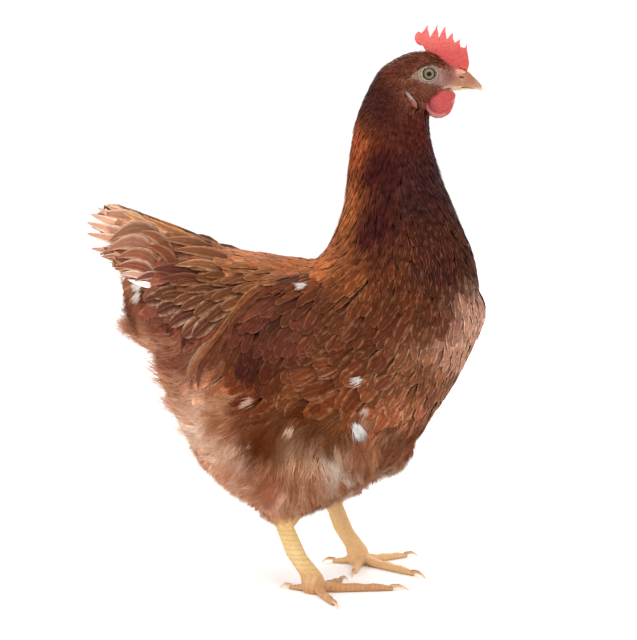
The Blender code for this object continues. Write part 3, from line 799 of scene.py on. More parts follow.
# %% The joined skin
def open_rims(bm, near):
    """The edges of the two open rims nearest to a point."""
    rim = [edge for edge in bm.edges if edge.is_boundary]
    loops, seen = [], set()
    for start in rim:
        if start in seen:
            continue
        loop, queue = [], [start]
        seen.add(start)
        while queue:
            edge = queue.pop()
            loop.append(edge)
            for vert in edge.verts:
                for other in vert.link_edges:
                    if other.is_boundary and other not in seen:
                        seen.add(other)
                        queue.append(other)
        loops.append(loop)
    return sorted(loops, key=lambda loop: (rim_middle(loop) - Vector(near)).length)[:2]


def rim_middle(loop):
    total = Vector()
    for edge in loop:
        total += (edge.verts[0].co + edge.verts[1].co) / 2
    return total / len(loop)


cut_at(leg_part, SHANK_CUT, keep_above=False)
for part in (head_part, leg_part):
    mesh = bpy.data.meshes.new("part")
    part.to_mesh(mesh)
    skin.from_mesh(mesh)
neck_spot = rim_middle(open_rims(skin, (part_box("head")[0].x, 0, NECK_JOIN))[0])
ankles = [middle_of("shank_" + side) for side in SIDES]
for join in [neck_spot] + [(ankle.x, ankle.y, SHANK_CUT) for ankle in ankles]:
    upper, lower = open_rims(skin, join)
    bmesh.ops.bridge_loops(skin, edges=upper + lower)
bmesh.ops.triangulate(skin, faces=[face for face in skin.faces if len(face.verts) > 4])
skin.normal_update()
print("skin faces:", len(skin.faces), "open edges:", sum(e.is_boundary for e in skin.edges))

# %% [markdown]
# ### Colour of the bare skin
#
# The comb, wattles and lower ear lobes are full of blood and show red. The face is a pinkish grey,
# palest on the rims of the lids, and the feet are yellow as the hen's feed makes them. The scutes,
# broad plates across the shanks and toes, have darker edges. These colours are painted on the points
# of the mesh by where they lie, so one zone fades into the next.


# %% Colours of the skin
places = co_array(skin)
on_head = places[:, 2] > NECK_JOIN - 2 * MM
on_leg = places[:, 2] < SHANK_CUT + 4 * MM
flesh_share, bare_share, f, u = head_zones(places)
from_eye = np.hypot(f, u / 0.96)


def layered(first, layers):
    """Paints colours over a first one, each with its share at every point."""
    tone = np.tile(shade(first), (len(layers[0][1]), 1))
    for tint, share in layers:
        tone = toward(tone, shade(tint) if isinstance(tint, str) else tint, share)
    return tone


def muzzle(f, u):
    """Colour where the skin of the face turns into the horn of the bill."""
    return layered("#80483a", [
        ("#9c6652", fade(f, 17, 24)),
        ("#a0694e", 1 - fade(u, -8, -4)),
        ("#d29080", fade(u, -3, 1.5) * fade(f, 19.5, 23)),                     # the cere: pink skin, painted paler on top of the hood as a highlight
        ("#c8a588", (1 - fade(u, -10.5, -8)) * fade(f, 13, 20))])


gape = u + 9.2 + 0.35 * np.maximum(16 - f, 0)                                  # the line of the mouth
lid = band(from_eye, 5.3, 0.4, 0.9) + 0.8 * band(from_eye, 7.1, 0.3, 0.7)
# painted shade: dark lines in the grooves between and outside the rings of the lids
crease_shade = band(from_eye, 6.25, 0.2, 0.5) + 0.8 * band(from_eye, 8.0, 0.2, 0.6)
face = layered("#866054", [
    ("#744838", fade(ripple(places, 3.0 * MM), 0.0, 0.6) * 0.8),
    ("#806250", fade(-f, 6, 9) * fade(u, -5, -1)),                             # behind the eye
    ("#8c665a", fade(f, 6, 9) * fade(u, -9, -4)),
    ("#7a493c", fade(f, 9, 14) * fade(u, -9, -4)),                             # the lores
    ("#683426", 1 - fade(u + 0.25 * f, -8, -4.5)),                             # the cheek
    ("#b88a70", band(gape, 0, 0.5, 1.6) * fade(f, 6, 11)),
    ("#988872", np.clip(lid, 0, 1)),
    ("#4a342a", np.clip(crease_shade, 0, 1) * 0.9)])
face = toward(face, muzzle(f, u), fade(f, 15, 19))

print("darkest and palest red of the face:", face[:, 0].min().round(3), face[:, 0].max().round(3))

# %% [markdown]
# ### Colour of comb, wattles and feet
#
# A wattle is painted paler on its lower rim, as light shining through the thin edge, and darker just
# inside the roll, as painted shade. A comb is painted paler towards the tips of its thin spikes, as a
# glow of light through them. The plates of a foot are counted by height on the shank, and by distance
# from the ankle on the toes.

# %% Colours of flesh and feet
on_wattle = u < -8
across_wattle, up_wattle = f - WATTLE_AT[0], u - WATTLE_AT[1]
round_wattle = round_wattle_at(f, u)
red = layered("#c2423c", [
    ("#dc6a5e", fade(u, 12, 30) * 0.8),                                        # painted glow of light through the thin spikes
    ("#a02c2a", fade(ripple(places, 1.4 * MM), 0.0, 0.7) * 0.6),
    # painted glow: the lower rim of the wattle paler, as light shining through its thin edge
    ("#c08078", fade(round_wattle, 0.86, 0.97) * fade(-across_wattle - up_wattle, 0, 6)
     * on_wattle * 0.8),
    # painted shade: darker just inside the rolled rim, towards the lower back of the wattle
    ("#70202a", fade(-across_wattle - 0.3 * up_wattle, 0, 8) * (1 - fade(round_wattle, 0.78, 0.9))
     * on_wattle * 0.7)])
red *= np.where(on_wattle, 0.82, 1.0)[:, None]

height = places[:, 2]
legs = layered("#e6bd7c", [
    ("#cf9560", 1 - fade(height, 6 * MM, 24 * MM)),
    ("#f0d6a8", fade(ripple(places, 9 * MM, 5.0), 0.0, 0.8) * 0.4),
    ("#a8623e", fade(ripple(places, 5 * MM, 8.0), 0.25, 0.8)
     * (1 - fade(height, 4 * MM, 12 * MM)) * 0.4)])
from_ankle = np.min([np.hypot(places[:, 0] - ankle.x, places[:, 1] - ankle.y) for ankle in ankles], 0)
on_toe = 1 - fade(height, 12 * MM, 18 * MM)
SCUTE = 3.6 * MM             # length of one plate
plate = np.mod((height * (1 - on_toe) + from_ankle * on_toe) / SCUTE, 1)
plate_edge = on_leg * (1 - fade(np.minimum(plate, 1 - plate), 0.06, 0.22))
legs *= 1 - 0.16 * plate_edge[:, None]
legs = toward(legs, shade("#f8c88c"), (places[:, 1] > 0) * 0.75)               # painted light: the left foot is painted paler to lift the shade on it

pale_lobe, red_lobe = lobe_zones(places)
# painted shade: under the coat the skin takes the plumage's colours, a little darker, as shade under the
# feathers
paint = toward(plumage(places, "base") * 0.9, face, np.maximum(bare_share, on_head * fade(f, 14, 18)))
paint = toward(paint, red, flesh_share)
paint = toward(paint, shade("#a08680"), pale_lobe * on_head * 0.85)
paint = toward(paint, shade("#8c4a44"), red_lobe * on_head)
paint = toward(paint, legs, on_leg.astype(float))
print("bare points:", int((bare_share > 0.5).sum()), "red points:", int((flesh_share > 0.5).sum()))

# %% [markdown]
# ### Finishes of the skin
#
# All of them take their colour from the painted points. They differ in grain: a comb is covered in
# fine round granules and lets light through, a face is finely creased, a foot is horny and a little
# glossy, and the skin under the coat is dull.


# %% Skin materials
def painted(material, shader, variation, size):
    """Feeds the painted colour to the shader, varied a little by fine noise. Returns the place."""
    markings = add(material, "Attribute", attribute_name="markings")
    place = add(material, "TexCoord").outputs["Object"]
    fine = add(material, "TexNoise", {"Vector": place, "Scale": size, "Detail": 3.0})
    lightness = add(material, "MapRange", {"Value": fine, "From Min": 0.3, "From Max": 0.7,
                                           "To Min": 1 - variation, "To Max": 1 + variation})
    varied = add(material, "HueSaturation", {"Color": markings, "Value": lightness})
    link(material, varied, shader.inputs["Base Color"])
    return place


def see_through(weight, radius, scale):
    """Inputs of a skin or horn that lets some light into it."""
    return {"Subsurface Weight": weight, "Subsurface Radius": radius, "Subsurface Scale": scale}


def comb_finish():
    """Comb flesh: wet-looking granules about 0.8 mm apart over blood-red, slightly see-through skin."""
    material, shader = new_material("comb_flesh_granular", {
        "Roughness": 0.46, **see_through(0.35, (1.0, 0.30, 0.20), 0.0022)})
    place = painted(material, shader, 0.10, 1100.0)
    granules = add(material, "TexVoronoi", {"Vector": place, "Scale": 1250.0}, feature="SMOOTH_F1")
    pits = add(material, "Bump", {"Height": granules, "Distance": -0.00035})
    link(material, pits, shader.inputs["Normal"])
    return material


def face_finish():
    """Facial skin: matt, with creases about 0.7 mm apart."""
    material, shader = new_material("facial_skin_creased", {
        "Roughness": 0.55, **see_through(0.15, (1.0, 0.4, 0.3), 0.0015)})
    place = painted(material, shader, 0.14, 1500.0)
    folds = add(material, "TexNoise", {"Vector": place, "Scale": 1400.0, "Detail": 4.0, "Distortion": 1.2})
    creased = add(material, "Bump", {"Height": folds, "Distance": 0.0004})
    link(material, creased, shader.inputs["Normal"])
    return material


def leg_finish():
    """Leg skin: horny and a little glossy, with a fine net of small scales."""
    material, shader = new_material("leg_skin_reticulate", {"Roughness": 0.42})
    place = painted(material, shader, 0.10, 700.0)
    net = add(material, "TexVoronoi", {"Vector": place, "Scale": 800.0}, feature="DISTANCE_TO_EDGE")
    scales = add(material, "MapRange", {"Value": net, "From Min": 0.0, "From Max": 0.15})
    raised = add(material, "Bump", {"Height": scales, "Distance": 0.0003})
    link(material, raised, shader.inputs["Normal"])
    return material


def undercoat_finish():
    """Skin under the plumage, dull, in the plumage's colours painted a little darker as shade under the
    feathers.
    """
    material, shader = new_material("feathered_skin_dull", {"Roughness": 0.95})
    place = painted(material, shader, 0.25, 350.0)
    lumps = add(material, "TexNoise", {"Vector": place, "Scale": 500.0, "Detail": 5.0})
    uneven = add(material, "Bump", {"Height": lumps, "Distance": 0.002})
    link(material, uneven, shader.inputs["Normal"])
    return material


# %% [markdown]
# ### From a mesh to a piece
#
# A piece is a mesh with its finishes and its painted colours, and it rides on the hen's one body.


# %% A finished piece
def object_of(name, bm, materials, paint=None):
    """Turns a mesh under construction into a finished piece that rides on the body."""
    mesh = bpy.data.meshes.new(name)
    bm.to_mesh(mesh)
    bm.free()
    for material in materials:
        mesh.materials.append(material)
    if paint is not None:
        layer = mesh.color_attributes.new("markings", "FLOAT_COLOR", "POINT")
        rgba = np.ones((len(mesh.vertices), 4), np.float32)
        rgba[:, :3] = paint
        layer.data.foreach_set("color", rgba.ravel())
    mesh.shade_smooth()
    made = bpy.data.objects.new(name, mesh)
    scene.collection.objects.link(made)
    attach(made, "root")
    return made


# %% [markdown]
# ### The skin as a piece
#
# Granules of the comb, creases of the face and the steps between the scutes are pressed into the mesh
# itself. Each face then gets the finish of the zone that it lies in.

# %% The skin as a piece
COMB_FINISH, FACE_FINISH, LEG_FINISH, UNDERCOAT = range(4)
region = np.select([on_leg, flesh_share > 0.5, bare_share > 0.5], [LEG_FINISH, COMB_FINISH, FACE_FINISH],
                   UNDERCOAT)
skin.verts.ensure_lookup_table()
granules = flesh_share * 0.16 * MM * ripple(places, 1.1 * MM, 3.0)
creases = bare_share * (1 - flesh_share) * 0.12 * MM * ripple(places, 1.5 * MM, 9.0)
push_out(skin, granules + creases - plate_edge * 0.22 * MM)
for skin_face in skin.faces:
    skin_face.material_index = int(region[skin_face.verts[0].index])
skin_piece = object_of("skin", skin, [comb_finish(), face_finish(), leg_finish(), undercoat_finish()],
                       paint)
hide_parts(*body_nodes, "head", *head_flesh, *leg_nodes)
print("skin triangles:", sum(len(p.vertices) - 2 for p in skin_piece.data.polygons))

# %% [markdown]
# ## Vanes
#
# A feather shows as a thin, slightly hollow blade that is bound to the skin at its root and lies over
# the next ones. Each vane here is a closed mesh: rings of points along a line, two to five across the
# top and one below, closed with a point at each end. Thousands of vanes share one pattern of faces, so
# numpy can place all their points at once, and the long edges are marked sharp so that each blade
# shades as a flat thing, not as a cushion.


# %% Pattern of one vane
STATIONS = np.array([0.0, 0.14, 0.32, 0.50, 0.66, 0.80, 0.90, 0.965, 1.0])
BROAD_VANE = (np.array([-1.0, -0.55, 0.0, 0.55, 1.0]), STATIONS)       # places across and along it
SLIM_VANE = (np.array([-1.0, 0.0, 1.0]), np.array([0.0, 0.22, 0.45, 0.68, 0.87, 1.0]))
HAIR_VANE = (np.array([-1.0, 1.0]), np.array([0.0, 0.25, 0.5, 0.75, 1.0]))
STRAND = (np.array([-1.0, 1.0]), np.array([0.0, 0.35, 0.70, 1.0]))
PATCH_SIZE = 0.003           # of a tuft's own patch on the map for baking


def rise(t):
    return fade(np.asarray(t, float), 0.0, 1.0)


def rounded_outline(t):
    """A contour feather: narrow root, broad round end."""
    return (0.40 + 0.60 * rise(t / 0.45)) * np.sqrt(1 - np.clip((t - 0.58) / 0.42, 0, 1) ** 2.6)


def lance_outline(t):
    """A hackle: long and drawn out to a point."""
    return (0.45 + 0.55 * rise(t / 0.30)) * (1 - np.clip((t - 0.40) / 0.60, 0, 1) ** 1.7)


def hair_outline(t):
    """A strand of down."""
    return 1 - 0.75 * t


def vane_triangles(rings, around):
    """Faces of one closed vane: root point, rings of points, tip point."""
    last = 1 + rings * around
    faces = []
    for k in range(around):
        n = (k + 1) % around
        faces.append((0, 1 + n, 1 + k))
        for r in range(rings - 1):
            a, b = 1 + r * around, 1 + (r + 1) * around
            faces += [(a + k, a + n, b + n), (a + k, b + n, b + k)]
        faces.append((last, last - around + k, last - around + n))
    return np.array(faces)


print("faces of one broad vane:", len(vane_triangles(len(STATIONS) - 2, len(BROAD_VANE[0]) + 1)))

# %% [markdown]
# ### A mesh of vanes
#
# A whole tract is one mesh. Each vane gets its rings of points, two maps, one over its own length and
# width and one for baking, its two colours, and how far along the barbs each point lies.


# %% A mesh of vanes
def vane_mesh(name, line, up, width, outline, height, base, rim, patch, finish, slot,
              pattern=BROAD_VANE, camber=0.10, thickness=0.14 * MM, roll=None, ragged=0.0, slant=1.3):
    """One mesh of closed vanes.

    line and up are (feathers, stations, 3): points on the form and directions out of it. height is how
    far above the form each station lies, base and rim are colours, and patch is each root's place on
    the unwrapped skin.
    """
    count, steps = line.shape[:2]
    across, t = pattern
    run = unit(np.gradient(line, axis=1))
    side = unit(np.cross(up, run))
    over = unit(np.cross(run, side))
    if roll is not None:
        c, s = np.cos(roll)[:, None, None], np.sin(roll)[:, None, None]
        side, over = side * c + over * s, over * c - side * s
    middle = line + up * height[..., None]
    half = (width[:, None] / 2) * np.broadcast_to(outline(t), (count, steps))
    reach = across[None, None, :] * half[..., None]
    if ragged:
        reach = reach * (1 - ragged * random.random(reach.shape) * (np.abs(across) > 0.9))
    drop = camber * np.abs(across) ** 2 * half[..., None]
    top = (middle[:, :, None] + side[:, :, None] * reach[..., None]
           - over[:, :, None] * drop[..., None])
    under = (middle - over * (thickness + 0.25 * camber * half)[..., None])[:, :, None]
    rings = np.concatenate([top, under], 2)[:, 1:-1]
    around = rings.shape[2]
    points = np.concatenate([middle[:, :1], rings.reshape(count, -1, 3), middle[:, -1:]], 1)
    per_vane = points.shape[1]
    triangles = vane_triangles(steps - 2, around)
    faces = (triangles[None] + np.arange(count)[:, None, None] * per_vane).reshape(-1, 3)
    flat_points = points.reshape(-1, 3)
    corners = flat_points[faces]
    if np.linalg.det(corners[: len(triangles) * 50] * 1000).sum() < 0:
        faces = faces[:, ::-1].copy()

    mesh = bpy.data.meshes.new(name)
    mesh.vertices.add(len(flat_points))
    mesh.vertices.foreach_set("co", flat_points.astype(np.float32).ravel())
    mesh.loops.add(faces.size)
    mesh.loops.foreach_set("vertex_index", faces.astype(np.int32).ravel())
    mesh.polygons.add(len(faces))
    mesh.polygons.foreach_set("loop_start", np.arange(0, faces.size, 3, dtype=np.int32))
    mesh.update(calc_edges=True)
    mesh.shade_smooth()

    spread_u = np.append((across + 1) / 2, 0.5)
    u = np.concatenate([[0.5], np.tile(spread_u, steps - 2), [0.5]])
    v = np.concatenate([[0.0], np.repeat(t[1:-1], around), [1.0]])
    own = np.tile(np.stack([u, v], 1), (count, 1))
    bake = np.repeat(patch, per_vane, 0) + (own - 0.5) * PATCH_SIZE
    for layer_name, values in (("vane", own), ("OFBake", bake)):
        layer = mesh.uv_layers.new(name=layer_name)
        layer.uv.foreach_set("vector", values[faces.ravel()].astype(np.float32).ravel())
    for layer_name, values in (("markings", base), ("fringe", rim)):
        layer = mesh.color_attributes.new(layer_name, "FLOAT_COLOR", "POINT")
        rgba = np.ones((len(flat_points), 4), np.float32)
        rgba[:, :3] = np.repeat(values, per_vane, 0)
        layer.data.foreach_set("color", rgba.ravel())
    along = np.linalg.norm(np.diff(line, axis=1), axis=2).sum(1)
    barb = np.repeat(along, per_vane) * np.tile(v, count) - np.repeat(width, per_vane) * np.abs(
        np.tile(u, count) - 0.5) * slant
    barb = barb / math.hypot(1, slant)
    mesh.attributes.new("barb", "FLOAT", "POINT").data.foreach_set("value", barb.astype(np.float32))

    column = np.tile(np.concatenate([[-1], np.tile(np.arange(around), steps - 2), [-1]]), count)
    ends = np.empty(len(mesh.edges) * 2, np.int32)
    mesh.edges.foreach_get("vertices", ends)
    ends = column[ends.reshape(-1, 2)]
    rims = (0, len(across) - 1)
    sharp = (ends[:, 0] == ends[:, 1]) & np.isin(ends[:, 0], rims)
    mesh.attributes.new("sharp_edge", "BOOLEAN", "EDGE").data.foreach_set("value", sharp)
    mesh.materials.append(finish)
    made = bpy.data.objects.new(name, mesh)
    scene.collection.objects.link(made)
    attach(made, "root")
    print(f"{name}: {count} vanes, {len(faces)} triangles")
    return made


# %% [markdown]
# ### Laying feathers on the body
#
# Roots are spread over a tract like shingles: close together across the lie and further apart along
# it. From its root each feather follows the lie over the form. It rises from the skin to the outer
# form as it goes, so a feather rooted further forward passes over the ones behind it.


# %% Roots and lines
def headings(points, normals, turn=0.0):
    """The way the plumage lies at each point, along the surface, turned by an angle."""
    lie = plumage(points, "lie")
    way = np.stack([lie[:, 0], np.zeros(len(lie)), lie[:, 1]], 1)
    way = unit(way - normals * (way * normals).sum(1, keepdims=True))
    turn = np.broadcast_to(turn, len(points))[:, None]
    return way * np.cos(turn) + np.cross(normals, way) * np.sin(turn)


def spread(guide, allowed, along, across, tries, size):
    """Spots for roots, none nearer to another than its share of a feather's length and width."""
    spots_tried = guide.scatter(tries, allowed)
    normals = guide.settle(spots_tried)[1]
    ways = headings(spots_tried, normals)
    gap_along = plumage(spots_tried, "length") * along * size
    gap_across = plumage(spots_tried, "width") * across * size
    cell = float(max(gap_along.max(), gap_across.max()))
    keys = np.floor(spots_tried / cell).astype(int)
    taken, kept = {}, []
    steps = [(a, b, c) for a in (-1, 0, 1) for b in (-1, 0, 1) for c in (-1, 0, 1)]
    for i, (spot, way, key, ga, gc) in enumerate(zip(
            spots_tried.tolist(), ways.tolist(), keys.tolist(), gap_along.tolist(), gap_across.tolist())):
        free = True
        for a, b, c in steps:
            for other in taken.get((key[0] + a, key[1] + b, key[2] + c), ()):
                dx, dy, dz = spot[0] - other[0], spot[1] - other[1], spot[2] - other[2]
                run = dx * way[0] + dy * way[1] + dz * way[2]
                off = dx * dx + dy * dy + dz * dz - run * run
                if run * run / (ga * ga) + off / (gc * gc) < 1:
                    free = False
                    break
            if not free:
                break
        if free:
            taken.setdefault(tuple(key), []).append(spot)
            kept.append(i)
    return spots_tried[kept]


def trace(guide, starts, lengths, stations, turn, curl=0.0, cling=1.0, droop=0.0):
    """Follows the lie over the form from each root: points and outward normals at each station.

    Turn is each one's own angle to the lie, and curl is how much it gains towards the tip. Past the
    share cling of its length a feather leaves the form and runs on freely, drooping a little.
    """
    place, normal, faces = guide.settle(starts)
    points, normals = [place], [normal]
    way = headings(place, normal, turn)
    for step, t in zip(np.diff(stations), stations[1:]):
        if t <= cling:
            way = headings(place, normal, turn + curl * t)
            place, normal, _ = guide.settle(place + way * (lengths * step)[:, None])
        else:
            way = unit(way - np.array([0, 0, droop * step]))
            place = place + way * (lengths * step)[:, None]
            normal = unit(normal - way * (normal * way).sum(1, keepdims=True))
        points.append(place)
        normals.append(normal)
    return np.stack(points, 1), np.stack(normals, 1), faces


# %% [markdown]
# ### Which faces belong to which tract
#
# The form is unwrapped once, so that every root knows its place on the map for baking. Its faces are
# then sorted: the tract that each lies in, and whether it is on a wing or on the tail.


# %% Faces of the form
def unwrap(bm):
    """Unwraps a form once, and returns the place of each face's middle on its map."""
    mesh = bpy.data.meshes.new("unwrapping")
    bm.to_mesh(mesh)
    holder = bpy.data.objects.new("unwrapping", mesh)
    scene.collection.objects.link(holder)
    bpy.context.view_layer.objects.active = holder
    holder.select_set(True)
    bpy.ops.object.mode_set(mode="EDIT")
    bpy.ops.mesh.select_all(action="SELECT")
    bpy.ops.uv.smart_project(angle_limit=math.radians(66), island_margin=0.004)
    bpy.ops.object.mode_set(mode="OBJECT")
    uv = np.empty(len(mesh.loops) * 2)
    mesh.uv_layers.active.uv.foreach_get("vector", uv)
    starts = np.empty(len(mesh.polygons), np.int32)
    mesh.polygons.foreach_get("loop_start", starts)
    places = uv.reshape(-1, 2)[starts]
    bpy.data.objects.remove(holder)
    return places


body_map = unwrap(outer_form)
body_middles = body_guide.middles
body_tracts = tract_of(body_middles)
wing_gap = nearest_gap(body_middles, ["wing_left", "wing_right"])
on_wing = wing_gap < 1.5 * MM
on_tail = (nearest_gap(body_middles, ["tail"]) < 2.5 * MM) & (
    body_middles[:, 0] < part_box("trunk")[0].x + 8 * MM) & (
    body_middles[:, 0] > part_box("tail")[0].x + 44 * MM)
above_head_cut = body_middles[:, 2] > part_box("head")[0].z + 4 * MM
print("body map:", body_map.min(0).round(3), body_map.max(0).round(3))

# %% [markdown]
# ### What a feather's surface looks like
#
# A hen's contour feather is matt, with a paler fringe, a fine shaft and barbs that run out from it at
# a slant. Real barbs stand about 0.3 mm apart, too fine to show, so they are drawn 0.6 mm apart.


# %% Feather material
BARB_GAP = 0.6 * MM


def feather_finish(name, rim_strength=0.6, roughness=0.6, specular=0.03, root_shade=0.72,
                   mottle=0.14, streaks=0.20, rim_from=0.30, least_rim=0.25):
    """Feather: base colour inside, fringe colour from rim_from outwards, shaft, barbs, mottling, and
    painted shade that darkens the vane towards its root, down to root_shade.
    """
    material, shader = new_material(name, {"Roughness": roughness, "Specular IOR Level": specular})
    base = add(material, "Attribute", attribute_name="markings")
    rim = add(material, "Attribute", attribute_name="fringe")
    barb = add(material, "Attribute", attribute_name="barb").outputs["Fac"]
    own = add(material, "UVMap", uv_map="vane")
    across, along = add(material, "SeparateXYZ", {"Vector": own}).outputs[:2]
    centred = add(material, "Math", {0: across, 1: 0.5}, operation="SUBTRACT")
    off_shaft = add(material, "Math", {0: centred}, operation="ABSOLUTE")
    edge = add(material, "MapRange", {"Value": off_shaft, "From Min": rim_from, "From Max": 0.52},
               interpolation_type="SMOOTHSTEP")
    tip = add(material, "MapRange", {"Value": along, "From Min": 1.16 - rim_from * 1.1, "From Max": 1.0},
              interpolation_type="SMOOTHSTEP")
    fringe = add(material, "Math", {0: edge, 1: tip}, operation="MAXIMUM")
    place = add(material, "TexCoord").outputs["Object"]
    blotches = add(material, "TexNoise", {"Vector": place, "Scale": 240.0, "Detail": 4.0})
    patchy = add(material, "MapRange", {"Value": blotches, "From Min": 0.38, "From Max": 0.62,
                                        "To Min": least_rim, "To Max": 1.0})
    amount = add(material, "Math", {0: fringe, 1: patchy}, operation="MULTIPLY")
    amount = add(material, "Math", {0: amount, 1: rim_strength}, operation="MULTIPLY")
    vane = add(material, "Mix", {"Factor": amount, 6: base, 7: rim}, data_type="RGBA")
    shaft = add(material, "MapRange", {"Value": off_shaft, "From Min": 0.0, "From Max": 0.05,
                                       "To Min": 0.16, "To Max": 0.0})
    vane = add(material, "Mix", {"Factor": shaft, 6: vane.outputs[2], 7: rim}, data_type="RGBA")
    # Barbs clump, so their streaks come from noise that is stretched along them.
    across_barbs = add(material, "Math", {0: barb, 1: 1 / BARB_GAP}, operation="MULTIPLY")
    along_barbs = add(material, "Math", {0: off_shaft, 1: 2.2}, operation="MULTIPLY")
    place_in = add(material, "SeparateXYZ", {"Vector": place})
    apart = add(material, "Math", {0: place_in, 1: 60.0}, operation="MULTIPLY")
    barb_place = add(material, "CombineXYZ", {"X": across_barbs, "Y": along_barbs, "Z": apart})
    barbs = add(material, "TexNoise", {"Vector": barb_place, "Scale": 1.0, "Detail": 2.0})
    streaky = add(material, "MapRange", {"Value": barbs, "From Min": 0.3, "From Max": 0.7,
                                         "To Min": 1 - streaks, "To Max": 1 + streaks})
    lightness = add(material, "MapRange", {"Value": blotches, "From Min": 0.3, "From Max": 0.7,
                                           "To Min": 1 - mottle, "To Max": 1 + mottle})
    # painted shade: each vane darker towards its root, where the feathers over it shade it
    shaded = add(material, "MapRange", {"Value": along, "From Min": 0.1, "From Max": 0.7,
                                        "To Min": root_shade, "To Max": 1.0})
    value = add(material, "Math", {0: streaky, 1: lightness}, operation="MULTIPLY")
    value = add(material, "Math", {0: value, 1: shaded}, operation="MULTIPLY")
    varied = add(material, "HueSaturation", {"Color": vane.outputs[2], "Value": value})
    link(material, varied, shader.inputs["Base Color"])
    furrows = add(material, "Bump", {"Height": barbs, "Distance": 0.00025, "Strength": 0.6})
    link(material, furrows, shader.inputs["Normal"])
    return material


contour_finish = feather_finish("contour_feather_barbed", 0.60, rim_from=0.18)
hackle_finish = feather_finish("hackle_feather_silky", 0.40, 0.42, 0.05, mottle=0.22, rim_from=0.16)
fan_finish = feather_finish("wing_covert_rimmed", 0.62, streaks=0.14, rim_from=0.16, least_rim=0.45)
wing_finish = feather_finish("wing_feather_stiff", 0.55, 0.50, 0.04, rim_from=0.24)
tail_finish = feather_finish("tail_feather_soft", 0.70, 0.58, rim_from=0.16, mottle=0.05, least_rim=0.8)
fluff_finish = feather_finish("fluff_feather_downy", 0.30, 0.80, 0.01, root_shade=1.0, mottle=0.10)


def varied_colours(points, spread_value=0.10, spread_hue=0.03):
    """Base and rim colour at each root, each feather a little lighter, darker, redder or paler."""
    tone = 1 + random.normal(0, spread_value, (len(points), 1))
    tint = 1 + random.normal(0, spread_hue, (len(points), 3))
    patches = 1 + 0.12 * ripple(points, 22 * MM, 2.0)[:, None]
    return (np.clip(plumage(points, "base") * tone * tint * patches, 0.005, 0.95),
            np.clip(plumage(points, "rim") * (0.5 + 0.5 * tone) * tint, 0.01, 0.97))


head_guide = Guide(head_form)
maps = {body_guide: body_map, head_guide: unwrap(head_form)}
print("guides of the body and the head:", len(body_middles), "and", len(head_guide.middles), "faces")

# %% [markdown]
# ### One tract of feathers
#
# A tract is laid in one call: roots, then a line over the form for each, then its width, its rise from
# the skin and its colours, all a little different from feather to feather.


# %% A tract
def coat(name, allowed, finish, outline, slot, along, across, tries, camber=0.10, lift=0.4 * MM,
         depth_share=0.6, sway=0.12, ragged=0.0, guide=body_guide, size=1.0, curve=2.0,
         pattern=BROAD_VANE, cling=1.0, droop=0.0, tone=0.10, slant=1.3, roll=0.08, sit=0.0, vary=0.10,
         avoid=None):
    """A tract of feathers over the allowed faces of a form. None of them passes where avoid is high."""
    roots = spread(guide, allowed, along, across, tries, size)
    lengths = plumage(roots, "length") * size * (1 + random.normal(0, vary, len(roots)))
    line, up, faces = trace(guide, roots, lengths, pattern[1], random.normal(0, sway, len(roots)),
                            cling=cling, droop=droop)
    if avoid:
        clear = avoid(line[:, 1:].reshape(-1, 3)).reshape(len(roots), -1).max(1) < 0.4
        roots, line, up, faces = roots[clear], line[clear], up[clear], faces[clear]
    widths = plumage(roots, "width") * size * (1 + random.normal(0, vary, len(roots)))
    sink = plumage(roots, "depth") * depth_share
    tip = random.normal(0, lift, len(roots))
    height = -sink[:, None] * (1 - pattern[1]) ** curve + tip[:, None] * pattern[1] + sit
    base, rim = varied_colours(line[:, -3], tone)        # a feather shows its outer third
    if guide is head_guide:
        bare = 0.6 * fade(head_zones(line[:, -1])[1], 0.02, 0.5)
        base, rim = toward(base, shade("#7c4430"), bare), toward(rim, shade("#a0684e"), bare)
    return vane_mesh(name, line, up, widths, outline, height, base, rim, maps[guide][faces], finish, slot,
                     pattern=pattern, roll=random.normal(0, roll, len(roots)), camber=camber,
                     ragged=ragged, slant=slant)


# %% [markdown]
# ### Neck and breast
#
# The hackle's feathers are long, narrow and pointed, and lie so close that the neck looks silky. The
# breast has short broad ones with round ends, each showing a thin pale rim, like scales.

# %% Neck and breast
coat("neck_hackle", (body_tracts == "neck") & ~above_head_cut, hackle_finish, lance_outline,
     "hackle_feathers", along=0.15, across=0.48, camber=0.20, curve=1.6, tries=60000, pattern=SLIM_VANE,
     tone=0.16)
coat("breast_feathers", (body_tracts == "breast") & ~on_wing, contour_finish, rounded_outline,
     "contour_feathers", along=0.24, across=0.40, ragged=0.10, tries=40000, lift=0.3 * MM, tone=0.16,
     sway=0.20, vary=0.16, camber=0.06)

# %% [markdown]
# ### Head
#
# The feathers of the head are the smallest, about 2 mm wide. They start behind the comb and over the
# eye, cover the ear as a brown tuft, and grow longer down the neck until they meet the hackle. The
# cheek has bristles only.

